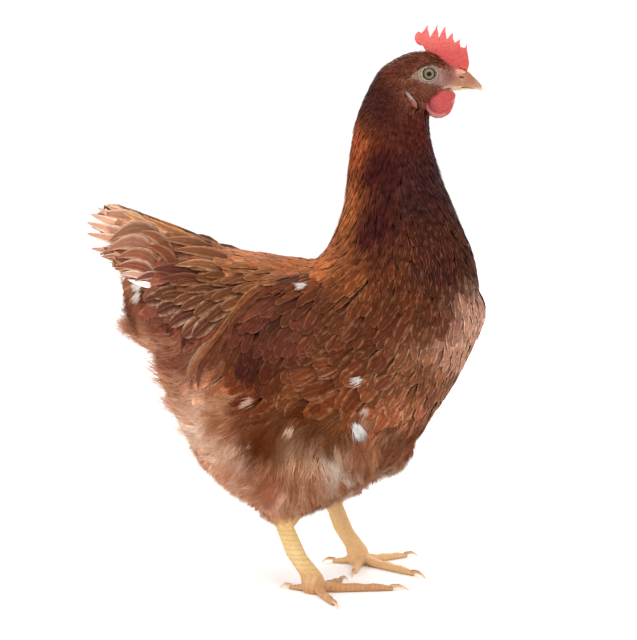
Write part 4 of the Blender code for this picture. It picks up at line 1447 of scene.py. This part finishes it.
# %% Head feathers
flesh_at, bare_at, f_at, u_at = head_zones(head_guide.middles)
lobes_at = np.maximum(*lobe_zones(head_guide.middles))
ear_tuft = np.hypot((f_at + 13.0) / 7.0, (u_at + 8.0) / 4.4) < 1
rooted = head_guide.middles[:, 2] > NECK_JOIN
feathered = rooted & (flesh_at < 0.3) & (lobes_at < 0.3) & ((bare_at < 0.4) | ear_tuft) & (f_at < 17)
coat("head_feathers", feathered, hackle_finish, lance_outline, "hackle_feathers", along=0.19,
     across=0.50, lift=0.25 * MM, guide=head_guide, tries=60000, depth_share=0.9, pattern=SLIM_VANE,
     camber=0.2, tone=0.16,
     avoid=lambda points: np.maximum.reduce([*lobe_zones(points), eye_ring(points)]))
bristled = (flesh_at < 0.1) & (u_at + 0.25 * f_at < -6.5) & (f_at < 12)
coat("face_bristles", bristled & (bare_at > 0.3), fluff_finish, lance_outline, "hackle_feathers",
     along=0.12, across=0.36, lift=0.1 * MM, guide=head_guide, tries=30000, depth_share=0.0, size=0.42,
     sway=0.3, pattern=HAIR_VANE)

# %% [markdown]
# ### Wings
#
# A folded wing shows three things. Large rounded feathers fan back over the rump in rows. A ridge of
# long narrow feathers runs from the shoulder down to a pale blade tip. In front of it the quills hang
# steeply, dark and narrow. The fans and the ridge are given in side view, and cast sideways onto the
# form.


# %% Rows of fans
wing_low, wing_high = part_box("wing_right")
WING_SCALE = np.array([wing_high.x - wing_low.x, wing_high.z - wing_low.z])


def cast(side, x, z):
    """Where a level ray from one side meets the form, if it does."""
    out = OUTWARD[side]
    return body_guide.tree.ray_cast(Vector((x, out * 0.3, z)), Vector((0, -out, 0)))[0]


def on_flank(side, shares):
    """Casts places in side view, given as shares of the wing's box, onto one side of the form."""
    points = []
    for along_share, up_share in shares.reshape(-1, 2):
        x = wing_low.x + WING_SCALE[0] * along_share
        z = wing_low.z + WING_SCALE[1] * up_share
        points.append(cast(side, x, z) or Vector((x, OUTWARD[side] * 0.02, z)))
    points, normals, faces = body_guide.settle(points)
    shape = shares.shape[:-1]
    return points.reshape(*shape, 3), normals.reshape(*shape, 3), faces.reshape(shape)


class Fan(NamedTuple):
    """A row of feathers on a wing. Pairs are for its first and its last feather."""
    tips: tuple       # two places, as shares of the wing's box
    fall: tuple       # degrees below straight back
    length: tuple     # mm
    width: float      # mm
    count: int
    lift: float       # mm above the form, at the tip
    base: str
    rim: str


FANS = [
    Fan(((-0.09, 0.66), (0.25, 0.42)), (27, 58), (36, 40), 14.5, 5, 2.6, "#50291b", "#be967a"),
    Fan(((-0.02, 0.77), (0.29, 0.57)), (24, 52), (32, 33), 12.5, 6, 3.0, "#542d1a", "#b08668"),
    Fan(((0.05, 0.87), (0.36, 0.69)), (21, 46), (27, 28), 10.2, 7, 3.2, "#5a311c", "#aa7c5a"),
    Fan(((0.13, 0.95), (0.44, 0.79)), (18, 42), (23, 24), 8.2, 8, 3.2, "#643920", "#a87852"),
    Fan(((0.22, 1.01), (0.52, 0.88)), (14, 36), (20, 22), 6.8, 10, 3.0, "#784626", "#b4825a"),
]


def lay_fan(side, fan):
    """Lines, normals and the rest for one row."""
    share = (np.arange(fan.count) + random.normal(0, 0.16, fan.count)) / (fan.count - 1)
    tips = np.array(fan.tips[0]) + np.outer(share, np.subtract(*fan.tips[::-1]))
    tips += random.normal(0, 1.5 * MM, tips.shape) / WING_SCALE
    fall = np.radians(fan.fall[0] + (fan.fall[1] - fan.fall[0]) * share + random.normal(0, 5, fan.count))
    length = (fan.length[0] + (fan.length[1] - fan.length[0]) * share) * MM
    back = 1 - STATIONS
    bend = fall[:, None] - 0.35 * back[None]      # each feather droops a little towards its tip
    offset = np.stack([np.cos(bend), np.sin(bend)], -1) * (length[:, None] * back)[..., None]
    line, up, faces = on_flank(side, tips[:, None] + offset / WING_SCALE)
    height = -2.5 * MM * back[None] ** 1.5 + fan.lift * MM * STATIONS
    return (line, up, faces[:, 0], np.full(fan.count, fan.width * MM), np.tile(height, (fan.count, 1)),
            fan.base, fan.rim)


def hand_laid(name, rows, finish, outline, slot, **shape):
    """One mesh of rows that were placed one by one. Each row ends with its two colours."""
    line, up, faces, width, height = (np.concatenate([row[i] for row in rows]) for i in range(5))
    counts = [len(row[3]) for row in rows]
    base, rim = (np.repeat([shade(row[k]) for row in rows], counts, 0) for k in (5, 6))
    tone = 1 + random.normal(0, 0.12, (len(width), 1))
    vane_mesh(name, line, up, width * (1 + random.normal(0, 0.08, len(width))), outline, height,
              base * tone, rim * (0.6 + 0.4 * tone), body_map[faces], finish, slot,
              roll=random.normal(0, 0.10, len(width)), **shape)


print(len(FANS), "rows of fans with", sum(fan.count for fan in FANS), "feathers on each wing")

# %% [markdown]
# ### The ridge of the wing
#
# The ridge is a smooth line in side view, through ten places. Its feathers start along it, each covers
# a span of it, and they spread from it a little, so together they read as one rounded edge.

# %% Ridge
RIDGE = np.array([(0.80, 1.00), (0.66, 0.985), (0.54, 0.94), (0.46, 0.84), (0.42, 0.72), (0.385, 0.60),
                  (0.35, 0.49), (0.28, 0.33), (0.215, 0.18), (0.19, 0.04)])   # shares of the wing's box


def along_ridge(shares):
    """Places on the smooth line of the ridge, for shares of its length from 0 to 1."""
    knots = np.arange(len(RIDGE)) / (len(RIDGE) - 1)
    fine = np.linspace(0, 1, 60)
    path = np.stack([np.interp(fine, knots, RIDGE[:, i]) for i in (0, 1)], 1)
    for _ in range(6):
        path[1:-1] = (path[:-2] + 2 * path[1:-1] + path[2:]) / 4
    return np.stack([np.interp(shares, fine, path[:, i]) for i in (0, 1)], -1)


def lay_ridge(side, count, span, width, spread_mm, lift, start, end, base, rim, fall=0.0):
    """Feathers along the ridge. Each covers a span of it, and falls away from it by some mm."""
    begin = np.sort(random.uniform(start, end, count))
    shares = np.clip(begin[:, None] + span * STATIONS[None], 0, 1)
    path = along_ridge(shares)
    away = random.normal(0, spread_mm * MM, (count, 1, 2)) / WING_SCALE * [1.0, 0.6]
    drop = STATIONS[None, :, None] ** 1.4 * np.array([0.25, -1.0]) * fall * MM / WING_SCALE
    line, up, faces = on_flank(side, path + away + drop * random.uniform(0.5, 1.3, (count, 1, 1)))
    height = (-1.5 * MM * (1 - STATIONS) ** 2 + lift * MM * np.sin(np.pi * STATIONS * 0.6))
    return line, up, faces[:, 0], np.full(count, width * MM), np.tile(height, (count, 1)), base, rim


print("middle of the ridge:", along_ridge(np.array([0.5]))[0].round(3), "as shares of the wing's box")

# %% [markdown]
# ### Both wings
#
# Each wing gets its hanging feathers first, then the rows of fans, then four passes along the ridge,
# from broad dark feathers below to narrow pale ones on top.

# %% Wing feathers
fans_at = []
for side in SIDES:
    this_side = body_middles[:, 1] * OUTWARD[side] > 0.01
    own_tract = this_side & on_wing & ~np.isin(body_tracts, ("scapulars", "vent"))
    coat("wing_hanging_" + side, own_tract, wing_finish, rounded_outline, "wing_feathers", along=0.24,
         across=0.46, ragged=0.15, curve=1.6, tries=16000, sway=0.18, tone=0.14, vary=0.16, camber=0.06)
    rows = [lay_fan(side, fan) for fan in FANS]
    fans_at += [row[0].reshape(-1, 3) for row in rows]
    hand_laid("wing_fans_" + side, rows, fan_finish, rounded_outline, "wing_feathers", camber=0.16,
              ragged=0.05)
    ridge = [
        lay_ridge(side, 40, 0.20, 4.6, 1.6, 1.2, 0.00, 0.72, "#54291a", "#8e5a3a", fall=12),
        lay_ridge(side, 30, 0.24, 3.4, 0.9, 2.0, 0.00, 0.72, "#6c3c22", "#a8724c", fall=4),
        lay_ridge(side, 15, 0.26, 1.9, 0.9, 2.2, 0.04, 0.72, "#80502f", "#b8835a"),
        lay_ridge(side, 5, 0.34, 6.5, 1.4, 2.0, 0.60, 0.66, "#8a5e48", "#c49e86"),
    ]
    hand_laid("wing_ridge_" + side, ridge, wing_finish, lance_outline, "wing_feathers", camber=0.25,
              ragged=0.1)

fans_at = np.concatenate(fans_at)

# %% [markdown]
# ### Back
#
# The feathers of the back and saddle come last, because their roots keep clear of the fans.


# %% Back feathers
def under_fans(points):
    """1 where the fans lie, 0 elsewhere."""
    return np.array([np.abs(fans_at - point).sum(1).min() < 7 * MM for point in points]) * 1.0


free = under_fans(body_middles) < 0.5
on_back = ((body_tracts == "back") & ~on_wing) | (body_tracts == "scapulars")
coat("back_feathers", on_back & free, contour_finish, rounded_outline, "contour_feathers", along=0.20,
     across=0.48, tries=30000, ragged=0.10, sway=0.15, lift=0.25 * MM, tone=0.16, roll=0.05, vary=0.12)

# %% [markdown]
# ### Tail
#
# Tail feathers stand on edge and fan upwards in two halves, like the pages of a half-open book. Each
# half has its long feathers, and soft coverts lie over their roots. Under both is a plain core, which
# closes the gaps between them.

# %% Long tail feathers
# Degrees up from level and mm long, for each long feather of one half.
TAIL_LONG = ((32.5, 94), (29, 97), (25, 99), (21, 97), (17, 95), (11.5, 88), (7.5, 79), (3, 66))
TAIL_WIDTH = 13.5 * MM
tail_low, tail_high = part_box("tail")
tail_root = Vector((tail_low.x + 90.6 * MM, 0, tail_high.z - 52 * MM))


def tail_half(side):
    """Lines and normals of the long feathers in one half of the tail."""
    out = OUTWARD[side]
    lines, normals = [], []
    for rank, (lift, reach) in zip(np.linspace(0, 4, len(TAIL_LONG)), TAIL_LONG):
        reach = (reach + random.normal(0, 1.5) - 5 * (side == "left")) * MM
        turn = (Matrix.Rotation(-out * math.radians(2.0 + 2.6 * rank), 3, "Z")
                @ Matrix.Rotation(math.radians(lift + random.normal(0, 0.8)), 3, "Y")
                @ Matrix.Rotation(out * 0.25, 3, "X"))
        start = tail_root + Vector((0, out * (1.2 + 1.6 * rank) * MM, 0))
        bow = (2.5 + random.normal(0, 1.2)) * MM
        lines.append([start + turn @ Vector((-reach * t, 0, bow * math.sin(math.pi * t)))
                      for t in STATIONS])
        normals.append([turn @ Vector((0, out, 0))] * len(STATIONS))
    return np.array(lines), np.array(normals)


def tail_outline(t):
    """A soft tail feather: widening slowly, then drawn out to a fine point."""
    return (0.35 + 0.65 * rise(t / 0.5)) * (1 - 0.90 * np.clip((t - 0.55) / 0.45, 0, 1) ** 1.5)


halves = [tail_half(side) for side in SIDES]
line, up = (np.concatenate([half[i] for half in halves]) for i in (0, 1))
lower = np.tile(np.linspace(0, 1, len(TAIL_LONG)), 2)
base = toward(np.tile(shade("#d8a486"), (len(line), 1)), shade("#9e644a"), lower)
rim = np.tile(shade("#f6dfd0"), (len(line), 1))
long_feathers = vane_mesh(
    "tail_long_feathers", line, up, np.full(len(line), TAIL_WIDTH), tail_outline,
    np.zeros(line.shape[:2]), base, rim, body_map[body_guide.settle(line[:, 3])[2]],
    tail_finish, "tail_feathers", ragged=0.06, camber=0.06, roll=random.normal(0, 0.06, len(line)))
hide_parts("tail")

# %% [markdown]
# ### Core and coverts
#
# The core is the tail's own solid, fused, cut off where the long feathers part, and set in. The coverts
# then grow from the body's form over their roots.

# %% Core of the tail and its coverts
tail_core = fused(["tail"], 1.6 * MM, grow=-0.4 * MM, smooth=3)
bmesh.ops.bisect_plane(tail_core, geom=tail_core.verts[:] + tail_core.edges[:] + tail_core.faces[:],
                       plane_co=(tail_low.x + 40 * MM, 0, 0), plane_no=(-1, 0, 0), clear_outer=True)
bmesh.ops.holes_fill(tail_core, edges=[edge for edge in tail_core.edges if edge.is_boundary], sides=0)
bmesh.ops.triangulate(tail_core, faces=[face for face in tail_core.faces if len(face.verts) > 4])
tail_core.normal_update()
for spot, vert in [(vert.co - vert.normal * 2.2 * MM, vert) for vert in tail_core.verts]:
    vert.co = spot
# painted shade: the core takes the plumage's colours, darker, as shade under the tail feathers
core_paint = plumage(co_array(tail_core), "base") * 0.8
core_piece = object_of("tail_core", tail_core, [undercoat_finish()], core_paint)

upper_tail = body_middles[:, 2] > tail_low.z + 0.54 * (tail_high.z - tail_low.z)
coat("tail_coverts", on_tail & ((body_tracts != "vent") | upper_tail), tail_finish, rounded_outline,
     "tail_feathers", along=0.17, across=0.46, tries=9000, lift=0.5 * MM, depth_share=0.4, sway=0.16,
     ragged=0.15, tone=0.12)

# %% [markdown]
# ### Plumes
#
# Long soft plumes lie over all of this, and hide where the tail leaves the saddle. They too are given
# one by one: a root, a tip and how far the middle arches.


# %% Plumes
class Plume(NamedTuple):
    """One soft feather over the roots of the long ones. Places are shares of the tail's box."""
    tip: tuple
    root: tuple
    bow: float        # mm that its middle arches up
    width: float      # mm
    lift: float       # mm above the form
    base: str
    rim: str


PLUMES = [
    Plume((0.03, 0.915), (0.50, 0.85), 4, 11, 1.5, "#a06e54", "#e8c6b0"),
    Plume((0.02, 0.85), (0.42, 0.76), 2, 12, 1.5, "#a8765c", "#ecccb8"),
    Plume((0.045, 0.72), (0.44, 0.665), 2, 7, 1.5, "#82482f", "#d8a488"),
    Plume((0.13, 0.67), (0.50, 0.60), 2, 7, 1.8, "#7a422e", "#dcac94"),
    Plume((0.22, 0.625), (0.52, 0.575), 2, 6, 2.0, "#72402c", "#d8a890"),
    Plume((0.19, 0.97), (0.80, 0.79), -1, 7, 1.8, "#b47848", "#f0c294"),
    Plume((0.35, 0.915), (1.00, 0.745), -1, 7, 2.0, "#985e38", "#d8a478"),
    Plume((0.28, 0.60), (0.62, 0.56), 5, 12, 2.2, "#7a402c", "#dcb4a0"),
    Plume((0.43, 0.52), (0.66, 0.57), 2, 8, 2.6, "#703a2a", "#d8b4a2"),
    Plume((0.36, 0.53), (0.62, 0.50), -1, 5, 2.4, "#dccabf", "#fffaf6"),
    Plume((0.30, 0.57), (0.60, 0.54), 1, 6, 2.2, "#b08470", "#f2dace"),
    Plume((0.27, 0.66), (0.64, 0.62), 7, 12, 2.8, "#845038", "#c69c80"),
    Plume((0.18, 0.70), (0.61, 0.69), 9, 13, 3.4, "#8e5e48", "#d0a890"),
    Plume((0.20, 0.75), (0.62, 0.79), 9, 14, 4.0, "#926248", "#d4ac92"),
    Plume((0.45, 0.83), (0.74, 0.68), 5, 9, 4.2, "#7c4c32", "#bc8e70"),
    Plume((0.54, 0.75), (0.79, 0.61), 4, 9, 4.2, "#683622", "#9a6a4c"),
    Plume((0.64, 0.77), (1.02, 0.735), 2, 9, 4.8, "#78492f", "#b8886a"),
    Plume((0.62, 0.60), (1.04, 0.587), 2, 13, 3.8, "#50281f", "#80503f"),
    Plume((0.70, 0.545), (1.08, 0.55), 2, 11, 4.0, "#54291e", "#825444"),
    Plume((0.74, 0.715), (1.19, 0.68), 2, 9, 5.0, "#704228", "#b48666"),
    Plume((0.80, 0.63), (1.20, 0.618), 3, 10, 5.2, "#784a2e", "#c49a7a"),
]


def lay_plume(side, plume):
    """Its line from root to tip. Past the edge of the form it keeps on, a little nearer the middle."""
    corner = np.array([tail_low.x, tail_low.z])
    scale = np.array([tail_high.x, tail_high.z]) - corner
    tip, root = (corner + scale * share for share in (plume.tip, plume.root))
    tip = tip + random.normal(0, 0.8 * MM, 2)
    run = tip - root
    arch = np.array([run[1], -run[0]]) / np.linalg.norm(run) * plume.bow * MM
    path = root + run * STATIONS[:, None] + arch * np.sin(math.pi * STATIONS)[:, None]
    reach = OUTWARD[side] * 10 * MM
    y = []
    for x, z in path:
        hit = cast(side, x, z)
        reach = hit.y if hit else reach * 0.92
        y.append(reach)
    for _ in range(3):
        y[1:-1] = [(a + 2 * b + c) / 4 for a, b, c in zip(y[:-2], y[1:-1], y[2:])]
    line = np.stack([path[:, 0], y, path[:, 1]], 1)
    _, normals, faces = body_guide.settle(line)
    up = unit(normals + [0, OUTWARD[side] * 1.5, 0])
    height = (-3.0 * (1 - STATIONS) ** 2 + plume.lift * (0.4 + 0.6 * STATIONS)) * MM
    return (line[None], up[None], faces[:1], np.array([plume.width * MM]), height[None], plume.base,
            plume.rim)


rows = [lay_plume(side, plume) for plume in PLUMES for side in SIDES]
hand_laid("tail_plumes", rows, tail_finish, lance_outline, "tail_feathers", camber=0.12, ragged=0.08)

# %% [markdown]
# ### Fluff
#
# Round the thighs, belly and vent the barbs don't hook together, so the plumage is soft as hair. It
# is drawn in two layers: long ragged vanes that give the locks their body, and over them tufts of thin
# tapered strands. Real barbs are some 0.03 mm thick; the strands are drawn ten times thicker.

# %% Locks
soft = np.isin(body_tracts, ("fluff", "vent")) & (~on_wing | (body_tracts == "vent")) & free
coat("fluff_locks", soft, fluff_finish, lance_outline, "body_fluff", along=0.18, across=0.42, sway=0.10,
     lift=0.2 * MM, tries=24000, curve=1.3, cling=0.85, droop=0.3, tone=0.06, ragged=0.3, slant=6.0,
     sit=-1.3 * MM, pattern=SLIM_VANE)


# %% [markdown]
# ### Strands of down
#
# The strands are laid as tufts. Those of one tuft start together and end in one soft point, and each
# tuft is a little lighter or darker than the next, which gives the fluff its cloudy look.

# %% Strands
STRAND_WIDTH = 0.40 * MM


def strands(name, roots, length, stand=1.0 * MM, sway=0.24, cling=0.75, droop=0.15, pale=0.40):
    """Tufts of thin strands, one at each root. Those of one tuft lie together, as down does."""
    per_tuft = 13
    tufts, count = len(roots), len(roots) * per_tuft
    starts = np.repeat(roots, per_tuft, 0) + random.normal(0, 1.8 * MM, (count, 3))
    lengths = length * (1 + random.normal(0, 0.18, count))
    turn = np.repeat(random.normal(0, sway, tufts), per_tuft) + random.normal(0, 0.06, count)
    curl = np.repeat(random.normal(0, 0.3, tufts), per_tuft) + random.normal(0, 0.12, count)
    line, up, _ = trace(body_guide, starts, lengths, STRAND[1], turn, curl, cling, droop)
    tuft_lines = line.reshape(tufts, per_tuft, -1, 3)      # its strands draw together in a soft point
    pull = (0.6 * STRAND[1] ** 1.3)[None, None, :, None]
    line = (tuft_lines + (tuft_lines.mean(1, keepdims=True) - tuft_lines) * pull).reshape(line.shape)
    sink = plumage(starts, "depth") * 0.2
    tip = np.abs(random.normal(0, stand, count))
    height = -sink[:, None] * (1 - STRAND[1]) ** 1.5 + tip[:, None] * STRAND[1] ** 2
    light = pale + 0.8 * ripple(roots, 14 * MM, 4.0) + random.normal(0, 0.18, tufts)
    tone = np.clip(np.repeat(light, per_tuft) + random.normal(0, 0.10, count), 0, 1)[:, None]
    shown = line[:, 2]
    base = plumage(shown, "base") * (1 - tone) + plumage(shown, "rim") * tone
    vane_mesh(name, line, up, np.full(count, STRAND_WIDTH), hair_outline, height, base, base,
              np.repeat(body_map[body_guide.settle(roots)[2]], per_tuft, 0), fluff_finish, "body_fluff",
              pattern=STRAND, camber=0.0, thickness=STRAND_WIDTH * 0.5)


right_half = body_middles[:, 1] < 0
for part, half in (("right", right_half), ("left", ~right_half)):
    for layer in ("under", "over"):
        strands(f"fluff_{layer}_{part}", body_guide.scatter(1150, soft & half), 30 * MM)
facing_back = body_guide.normals[body_guide.four].mean(1)[:, 0] < -0.3
at_rear = soft & facing_back & (body_middles[:, 2] < tail_low.z + 37 * MM) & (
    body_middles[:, 2] > THIGH_CUT + 50 * MM)
strands("vent_wisps", body_guide.scatter(300, at_rear), 32 * MM, stand=8 * MM, cling=0.36, droop=-1.8,
        pale=0.6, sway=0.2)

# %% [markdown]
# ### White tufts
#
# This hen has a few white feathers on its right side, at the shoulder, on the flank and on the thigh.
# Each shows as a short tuft of white strands over the brown.

# %% White tufts
WHITE_TUFTS = [                     # node, along, up, heading in side view, mm long, strands, colour
    ("tail", 0.49, 0.51, (-0.9, -0.5), 12, 90, "#f2e6de"),
    ("tail", 0.46, 0.45, (-0.8, -0.7), 11, 60, "#ecdcd2"),
    ("trunk", 0.705, 0.305, (0.45, -1.0), 13, 150, "#f2ece8"),
    ("trunk", 0.740, 0.375, (-0.60, -0.8), 8, 30, "#d8b8a4"),
    ("trunk", 0.545, 0.859, (-1.0, -0.6), 9, 55, "#f0e6de"),
    ("trunk", 0.728, 0.497, (-1.0, -0.3), 8, 40, "#ece0d8"),
    ("trunk", 0.425, 0.390, (-1.0, -0.5), 13, 40, "#d4a890"),
    ("thigh_right", 0.61, 0.77, (-0.4, -1.0), 11, 30, "#d8b094"),
]
lines, normals, faces = [], [], []
for node, along_share, up_share, way, long, count, _ in WHITE_TUFTS:
    low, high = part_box(node)
    x, z = low.x + (high.x - low.x) * along_share, low.z + (high.z - low.z) * up_share
    hit = cast("right", x, z)
    place, normal, face = body_guide.settle(np.array(hit) + random.normal(0, 1.3 * MM, (count, 3)))
    path, over = [place], [normal]
    heading = unit(np.array([way[0], 0, way[1]]) + random.normal(0, 0.16, (count, 3)))
    for step in np.diff(STRAND[1]):
        onward = heading * long * MM * step * random.uniform(0.7, 1.2, (count, 1))
        place, normal, _ = body_guide.settle(place + onward)
        path.append(place)
        over.append(normal)
    lines.append(np.stack(path, 1))
    normals.append(np.stack(over, 1))
    faces.append(face)
line, up, faces = np.concatenate(lines), np.concatenate(normals), np.concatenate(faces)
white = np.concatenate([np.tile(shade(tuft[-1]), (tuft[-2], 1)) for tuft in WHITE_TUFTS])
white = white * random.uniform(0.75, 1.0, (len(line), 1))
height = np.tile(1.2 * MM + 1.6 * MM * STRAND[1], (len(line), 1))
vane_mesh("white_tufts", line, up, np.full(len(line), 0.45 * MM), hair_outline, height, white, white,
          body_map[faces], fluff_finish, "body_fluff", pattern=STRAND, camber=0.0, thickness=0.2 * MM)

# %% [markdown]
# ## Bill
#
# The bill is horn: worn smooth at its edges, thick at the base where it swells over the nostrils. The
# two halves are fused apart, so that the line of the mouth stays open, and the nostrils are pressed in.


# %% Bill
def bill_half(name):
    """One half of the bill in horn, with its nostrils pressed in and a swelling over each."""
    bm = fused([name], 0.40 * MM, grow=0.05 * MM, smooth=3)
    places = co_array(bm)
    f, s, u = in_head(places).T
    beside = np.abs(s) > 1.5
    slit = np.hypot((f - 25.2) / 2.6, (u + 2.4 - 0.15 * (25.2 - f)) / 0.75)
    hood = np.hypot((f - 24.6) / 3.6, (u - 0.2) / 1.7)
    push = ripple(places, 5 * MM) * 0.12 * MM
    if name == "upper_bill":
        nostril = -1.2 * MM * (1 - fade(slit, 0.6, 1.15)) + 0.7 * MM * (1 - fade(hood, 0.3, 1.1))
        push = nostril * beside + push
    push_out(bm, push)
    if name == "lower_bill":
        bmesh.ops.translate(bm, verts=bm.verts, vec=(0, 0, 0.8 * MM))      # the mouth is shut
    horn = layered("#a87a5e", [
        ("#985230", fade(f, 24, 29) * (1 - fade(f, 34, 38)) * fade(u, -9.5, -6.5) * 0.8),
        (muzzle(f, u), 1 - fade(f, 22.5, 27)),
        ("#dcc0a0", 1 - fade(u, -12.0, -9.2)),
        # painted shade: the nostril's slit dark, as shade inside the opening
        ("#5a3426", (1 - fade(slit, 0.6, 1.1)) * beside),
    ])
    return object_of(name + "_horn", bm, [horn_finish], horn)


def bill_finish():
    """Horn of the bill: satin, streaked along its length."""
    material, shader = new_material("bill_horn_satin", {"Roughness": 0.38,
                                                        **see_through(0.15, (1.0, 0.5, 0.3), 0.0015)})
    place = painted(material, shader, 0.10, 800.0)
    streaks = add(material, "TexNoise", {"Vector": place, "Scale": 900.0, "Detail": 3.0})
    grooves = add(material, "Bump", {"Height": streaks, "Distance": 0.0002})
    link(material, grooves, shader.inputs["Normal"])
    return material


horn_finish = bill_finish()
for half in ("upper_bill", "lower_bill"):
    made = bill_half(half)
    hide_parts(half)
    print(f"{made.name}: {len(made.data.polygons)} faces")

# %% [markdown]
# ## Eyes
#
# A hen's eye shows a small round pupil in an olive iris, with a paler ring round the pupil. The ball
# bulges a little where the cornea is. Each point keeps its distance from the eye's axis, and the
# rings of colour are read from that. A clear coat gives the wet shine.


# %% Eyes
EYE_EDGE = 6.0                       # mm from the axis where the last ring ends
CORNEA = 4.4                         # mm, the radius of its bulge


def eye_finish():
    """Wet eyeball: rings of colour by distance from its axis, under a clear coat."""
    material, shader = new_material("eyeball_wet", {"Roughness": 0.4, "Specular IOR Level": 0.1,
                                                    "Coat Weight": 0.15, "Coat Roughness": 0.03})
    off_axis = add(material, "Attribute", attribute_name="off_axis").outputs["Fac"]
    share = add(material, "MapRange", {"Value": off_axis, "From Min": 0.0, "From Max": EYE_EDGE})
    ramp = add(material, "ValToRGB", {"Fac": share})
    stops = ((0.0, "#030202"), (1.75, "#060504"), (1.95, "#685c44"), (2.7, "#82765c"), (3.1, "#625440"),
             (3.7, "#7a6c52"), (4.1, "#4a3c2e"), (4.5, "#20140e"))
    elements = ramp.color_ramp.elements
    while len(elements) < len(stops):
        elements.new(0.5)
    for element, (radius, code) in zip(elements, stops):
        element.position = radius / EYE_EDGE
        element.color = colour(code)
    link(material, ramp, shader.inputs["Base Color"])
    return material


wet_eye = eye_finish()
for side in SIDES:
    axis = eye_axis(side)
    bm = bmesh.new()
    bmesh.ops.create_uvsphere(bm, u_segments=64, v_segments=48, radius=eye_radius - 0.15 * MM)
    off_axis = [math.hypot(vert.co.x, vert.co.y) / MM if vert.co.z > 0 else EYE_EDGE for vert in bm.verts]
    for vert, off in zip(bm.verts, off_axis):
        vert.co.z += 0.5 * MM * max(0.0, 1 - (off / CORNEA) ** 2)
    bmesh.ops.rotate(bm, verts=bm.verts, cent=(0, 0, 0), matrix=axis.to_track_quat("Z", "Y").to_matrix())
    bmesh.ops.translate(bm, verts=bm.verts, vec=eye_centres[side])
    eye = object_of("eyeball_" + side, bm, [wet_eye])
    eye.data.attributes.new("off_axis", "FLOAT", "POINT").data.foreach_set("value", off_axis)
    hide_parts("eye_" + side)
    print(f"{eye.name}: radius {eye_radius / MM:.1f} mm")

# %% [markdown]
# ## Claws
#
# Claws are pale horn, a little darker where they leave the toe. The scutes above them, broad plates
# that overlap downwards like roof tiles, are pressed and painted into the skin.

# %% Claws
claw_nodes = [f"claw_{toe}_{side}" for toe in TOES for side in SIDES]
bm = fused(claw_nodes, 0.30 * MM, grow=0.05 * MM, smooth=2)
places = co_array(bm)
claw_paint = toward(np.tile(shade("#e2bd94"), (len(places), 1)), shade("#b98a62"),
                    fade(places[:, 2], 2.5 * MM, 4.5 * MM))
claws = object_of("claws_horn", bm, [horn_finish], claw_paint)
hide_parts(*claw_nodes)
print(f"claws: {len(claw_nodes)} in one piece of {len(claws.data.polygons)} faces")

# %% [markdown]
# ## Sizes and end
#
# The box of the visible model is printed.

# %% Sizes and end
bpy.context.view_layer.update()
low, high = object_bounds()
print("visual box:", [round(v, 4) for v in (*low, *high)])
